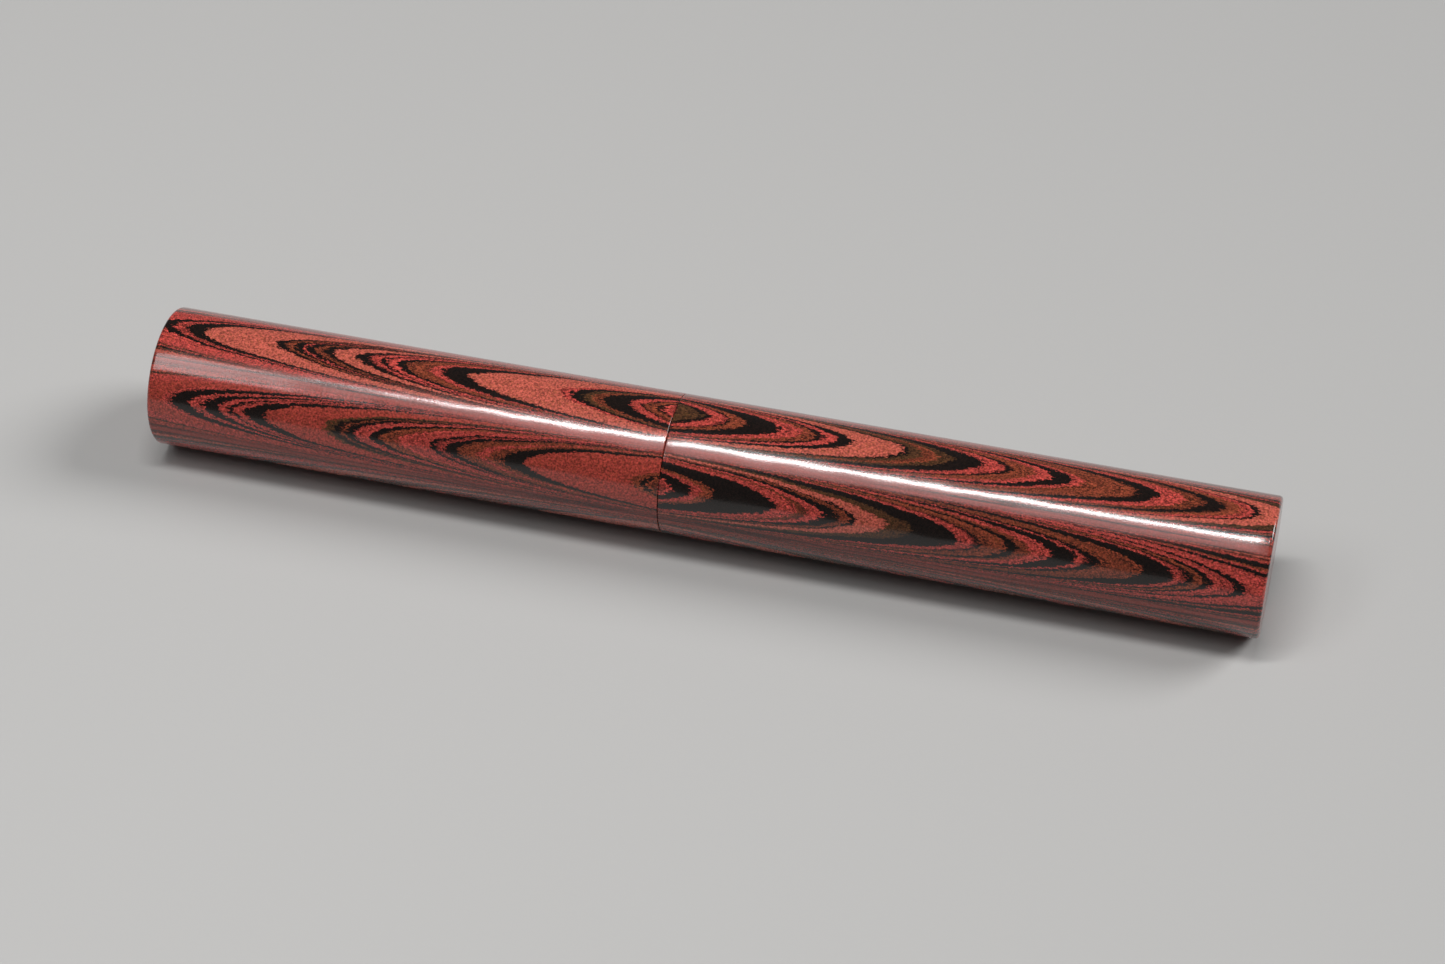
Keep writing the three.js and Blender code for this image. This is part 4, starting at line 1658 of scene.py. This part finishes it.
class DIPPEN_OT_stage(bpy.types.Operator):
    """Set the stage: the camera, a pale floor and the lights over the pen"""

    bl_idname = "dippen.stage"
    bl_label = "Stage"

    def execute(self, context):
        look = context.scene.stage_look
        camera = self.camera(context)
        self.floor(look)
        self.lights(context, look, camera)
        return {"FINISHED"}

    def camera(self, context):
        azimuth = math.radians(14.3)
        elevation = math.radians(44.8)
        distance = 0.4323
        aim_right = 0.0042
        aim_up = -0.0036
        back = Vector(
            (
                math.sin(azimuth) * math.cos(elevation),
                -math.cos(azimuth) * math.cos(elevation),
                math.sin(elevation),
            )
        )
        right = (-back).cross(Vector((0, 0, 1))).normalized()
        up = right.cross(-back)
        aim = -back + aim_right * right + aim_up * up
        data = bpy.data.cameras.new("Camera")
        data.sensor_width = 36
        data.lens = 92.5
        data.clip_start = 0.01
        data.clip_end = 50
        camera = bpy.data.objects.new("Camera", data)
        camera.location = Vector((0, 0, AXIS_HEIGHT)) + back * distance
        camera.rotation_mode = "QUATERNION"
        camera.rotation_quaternion = aim.to_track_quat("-Z", "Y")
        context.scene.collection.objects.link(camera)
        context.scene.camera = camera
        return camera

    def floor(self, look):
        half_side = 4
        shape = bmesh.new()
        bmesh.ops.create_grid(shape, x_segments=8, y_segments=8, size=half_side)
        floor = finished("Floor", shape)
        floor.data.materials.append(pale_floor(look.floor))

    def mirrored(self, camera, x, angle):
        """Where the light must stand for the camera to see it in the pen at x and an angle."""
        normal = Vector((0, -math.sin(math.radians(angle)), math.cos(math.radians(angle))))
        place = Vector((x, 0, AXIS_HEIGHT)) + normal * BODY_RADIUS
        to_camera = (camera.location - place).normalized()
        return place + (2 * normal.dot(to_camera) * normal - to_camera) * LIGHT_DISTANCE

    def area_light(self, context, name, place, along, size, power):
        """A rectangular light at a place, with its length along a direction, facing the pen."""
        data = bpy.data.lights.new(name, "AREA")
        data.shape = "RECTANGLE"
        data.size, data.size_y = size
        data.energy = power
        light = bpy.data.objects.new(name, data)
        backwards = (place - Vector((0, 0, AXIS_HEIGHT))).normalized()
        along = (along - backwards * along.dot(backwards)).normalized()
        light.matrix_world = light_matrix(place, along, backwards.cross(along), backwards)
        context.scene.collection.objects.link(light)

    def lights(self, context, look, camera):
        # Each strip starts a little further along, so that the streak fades in on the cap.
        end = self.mirrored(camera, 82 * MM, 24)
        for name, start_x, share in (
            ("Streak light", -28 * MM, 0.67),
            ("Longer streak light", -34 * MM, 0.24),
            ("Longest streak light", -40 * MM, 0.09),
        ):
            start = self.mirrored(camera, start_x, 29.2)
            size = ((end - start).length, look.streak_width)
            power = look.streak_power * share
            self.area_light(context, name, (start + end) / 2, end - start, size, power)
        # A wide dim light beside the strips, for the soft band under the streak on the barrel.
        band_start = self.mirrored(camera, -30 * MM, 33)
        band_end = self.mirrored(camera, 82 * MM, 30)
        band_size = ((band_end - band_start).length, 0.22)
        band_place = (band_start + band_end) / 2
        self.area_light(
            context, "Band light", band_place, band_end - band_start, band_size, look.band_power
        )
        # The panel's near edge is mirrored where the sheen on the cap ends.
        along_pen = Vector((1, 0, 0))
        sheen_size = (0.13, 0.27)
        sheen_edge = self.mirrored(camera, -49 * MM, 35)
        sheen_place = sheen_edge - along_pen * (sheen_size[0] / 2)
        self.area_light(
            context, "Sheen light", sheen_place, along_pen, sheen_size, look.sheen_power
        )
        side = bpy.data.lights.new("Side light", "SUN")
        side.energy = look.side_power
        side.angle = math.radians(28)
        side_light = bpy.data.objects.new("Side light", side)
        side_light.rotation_mode = "QUATERNION"
        towards_light = Vector((0.52, 0.26, 0.5))
        side_light.rotation_quaternion = towards_light.to_track_quat("Z", "Y")
        context.scene.collection.objects.link(side_light)
        world = bpy.data.worlds.new("Room")
        world.use_nodes = True
        background = world.node_tree.nodes["Background"]
        background.inputs["Color"].default_value = (0.95, 0.97, 1.0, 1)
        background.inputs["Strength"].default_value = look.room
        context.scene.world = world
        context.scene.view_settings.view_transform = "Standard"


# ---------------------------------------------------------------- panel and registration

MAKING_ORDER = (
    DIPPEN_OT_stage,
    DIPPEN_OT_barrel,
    DIPPEN_OT_cap,
    DIPPEN_OT_grip,
    DIPPEN_OT_rings,
    DIPPEN_OT_ferrule,
    DIPPEN_OT_nib,
)


class DIPPEN_PT_panel(bpy.types.Panel):
    """Sizes, looks and pieces of the pen"""

    bl_idname = "DIPPEN_PT_panel"
    bl_label = "Dip pen"
    bl_space_type = "VIEW_3D"
    bl_region_type = "UI"
    bl_category = "Dip pen"

    def draw(self, context):
        scene = context.scene
        for title, settings in (
            ("Sizes", scene.pen_sizes),
            ("Grain", scene.grain_look),
            ("Stage", scene.stage_look),
        ):
            box = self.layout.box()
            box.label(text=title)
            for name in settings.__annotations__:
                box.prop(settings, name)
        for operator in MAKING_ORDER:
            self.layout.operator(operator.bl_idname)


CLASSES = (PenSizes, GrainLook, StageLook, *MAKING_ORDER, DIPPEN_PT_panel)


def register():
    for cls in CLASSES:
        bpy.utils.register_class(cls)
    bpy.types.Scene.pen_sizes = bpy.props.PointerProperty(type=PenSizes)
    bpy.types.Scene.grain_look = bpy.props.PointerProperty(type=GrainLook)
    bpy.types.Scene.stage_look = bpy.props.PointerProperty(type=StageLook)


def unregister():
    del bpy.types.Scene.stage_look
    del bpy.types.Scene.grain_look
    del bpy.types.Scene.pen_sizes
    for cls in reversed(CLASSES):
        bpy.utils.unregister_class(cls)


def main():
    register()
    bpy.ops.dippen.stage()
    bpy.ops.dippen.barrel()
    bpy.ops.dippen.cap()
    bpy.ops.dippen.grip()
    bpy.ops.dippen.rings()
    bpy.ops.dippen.ferrule()
    bpy.ops.dippen.nib()


if __name__ == "__main__":
    main()
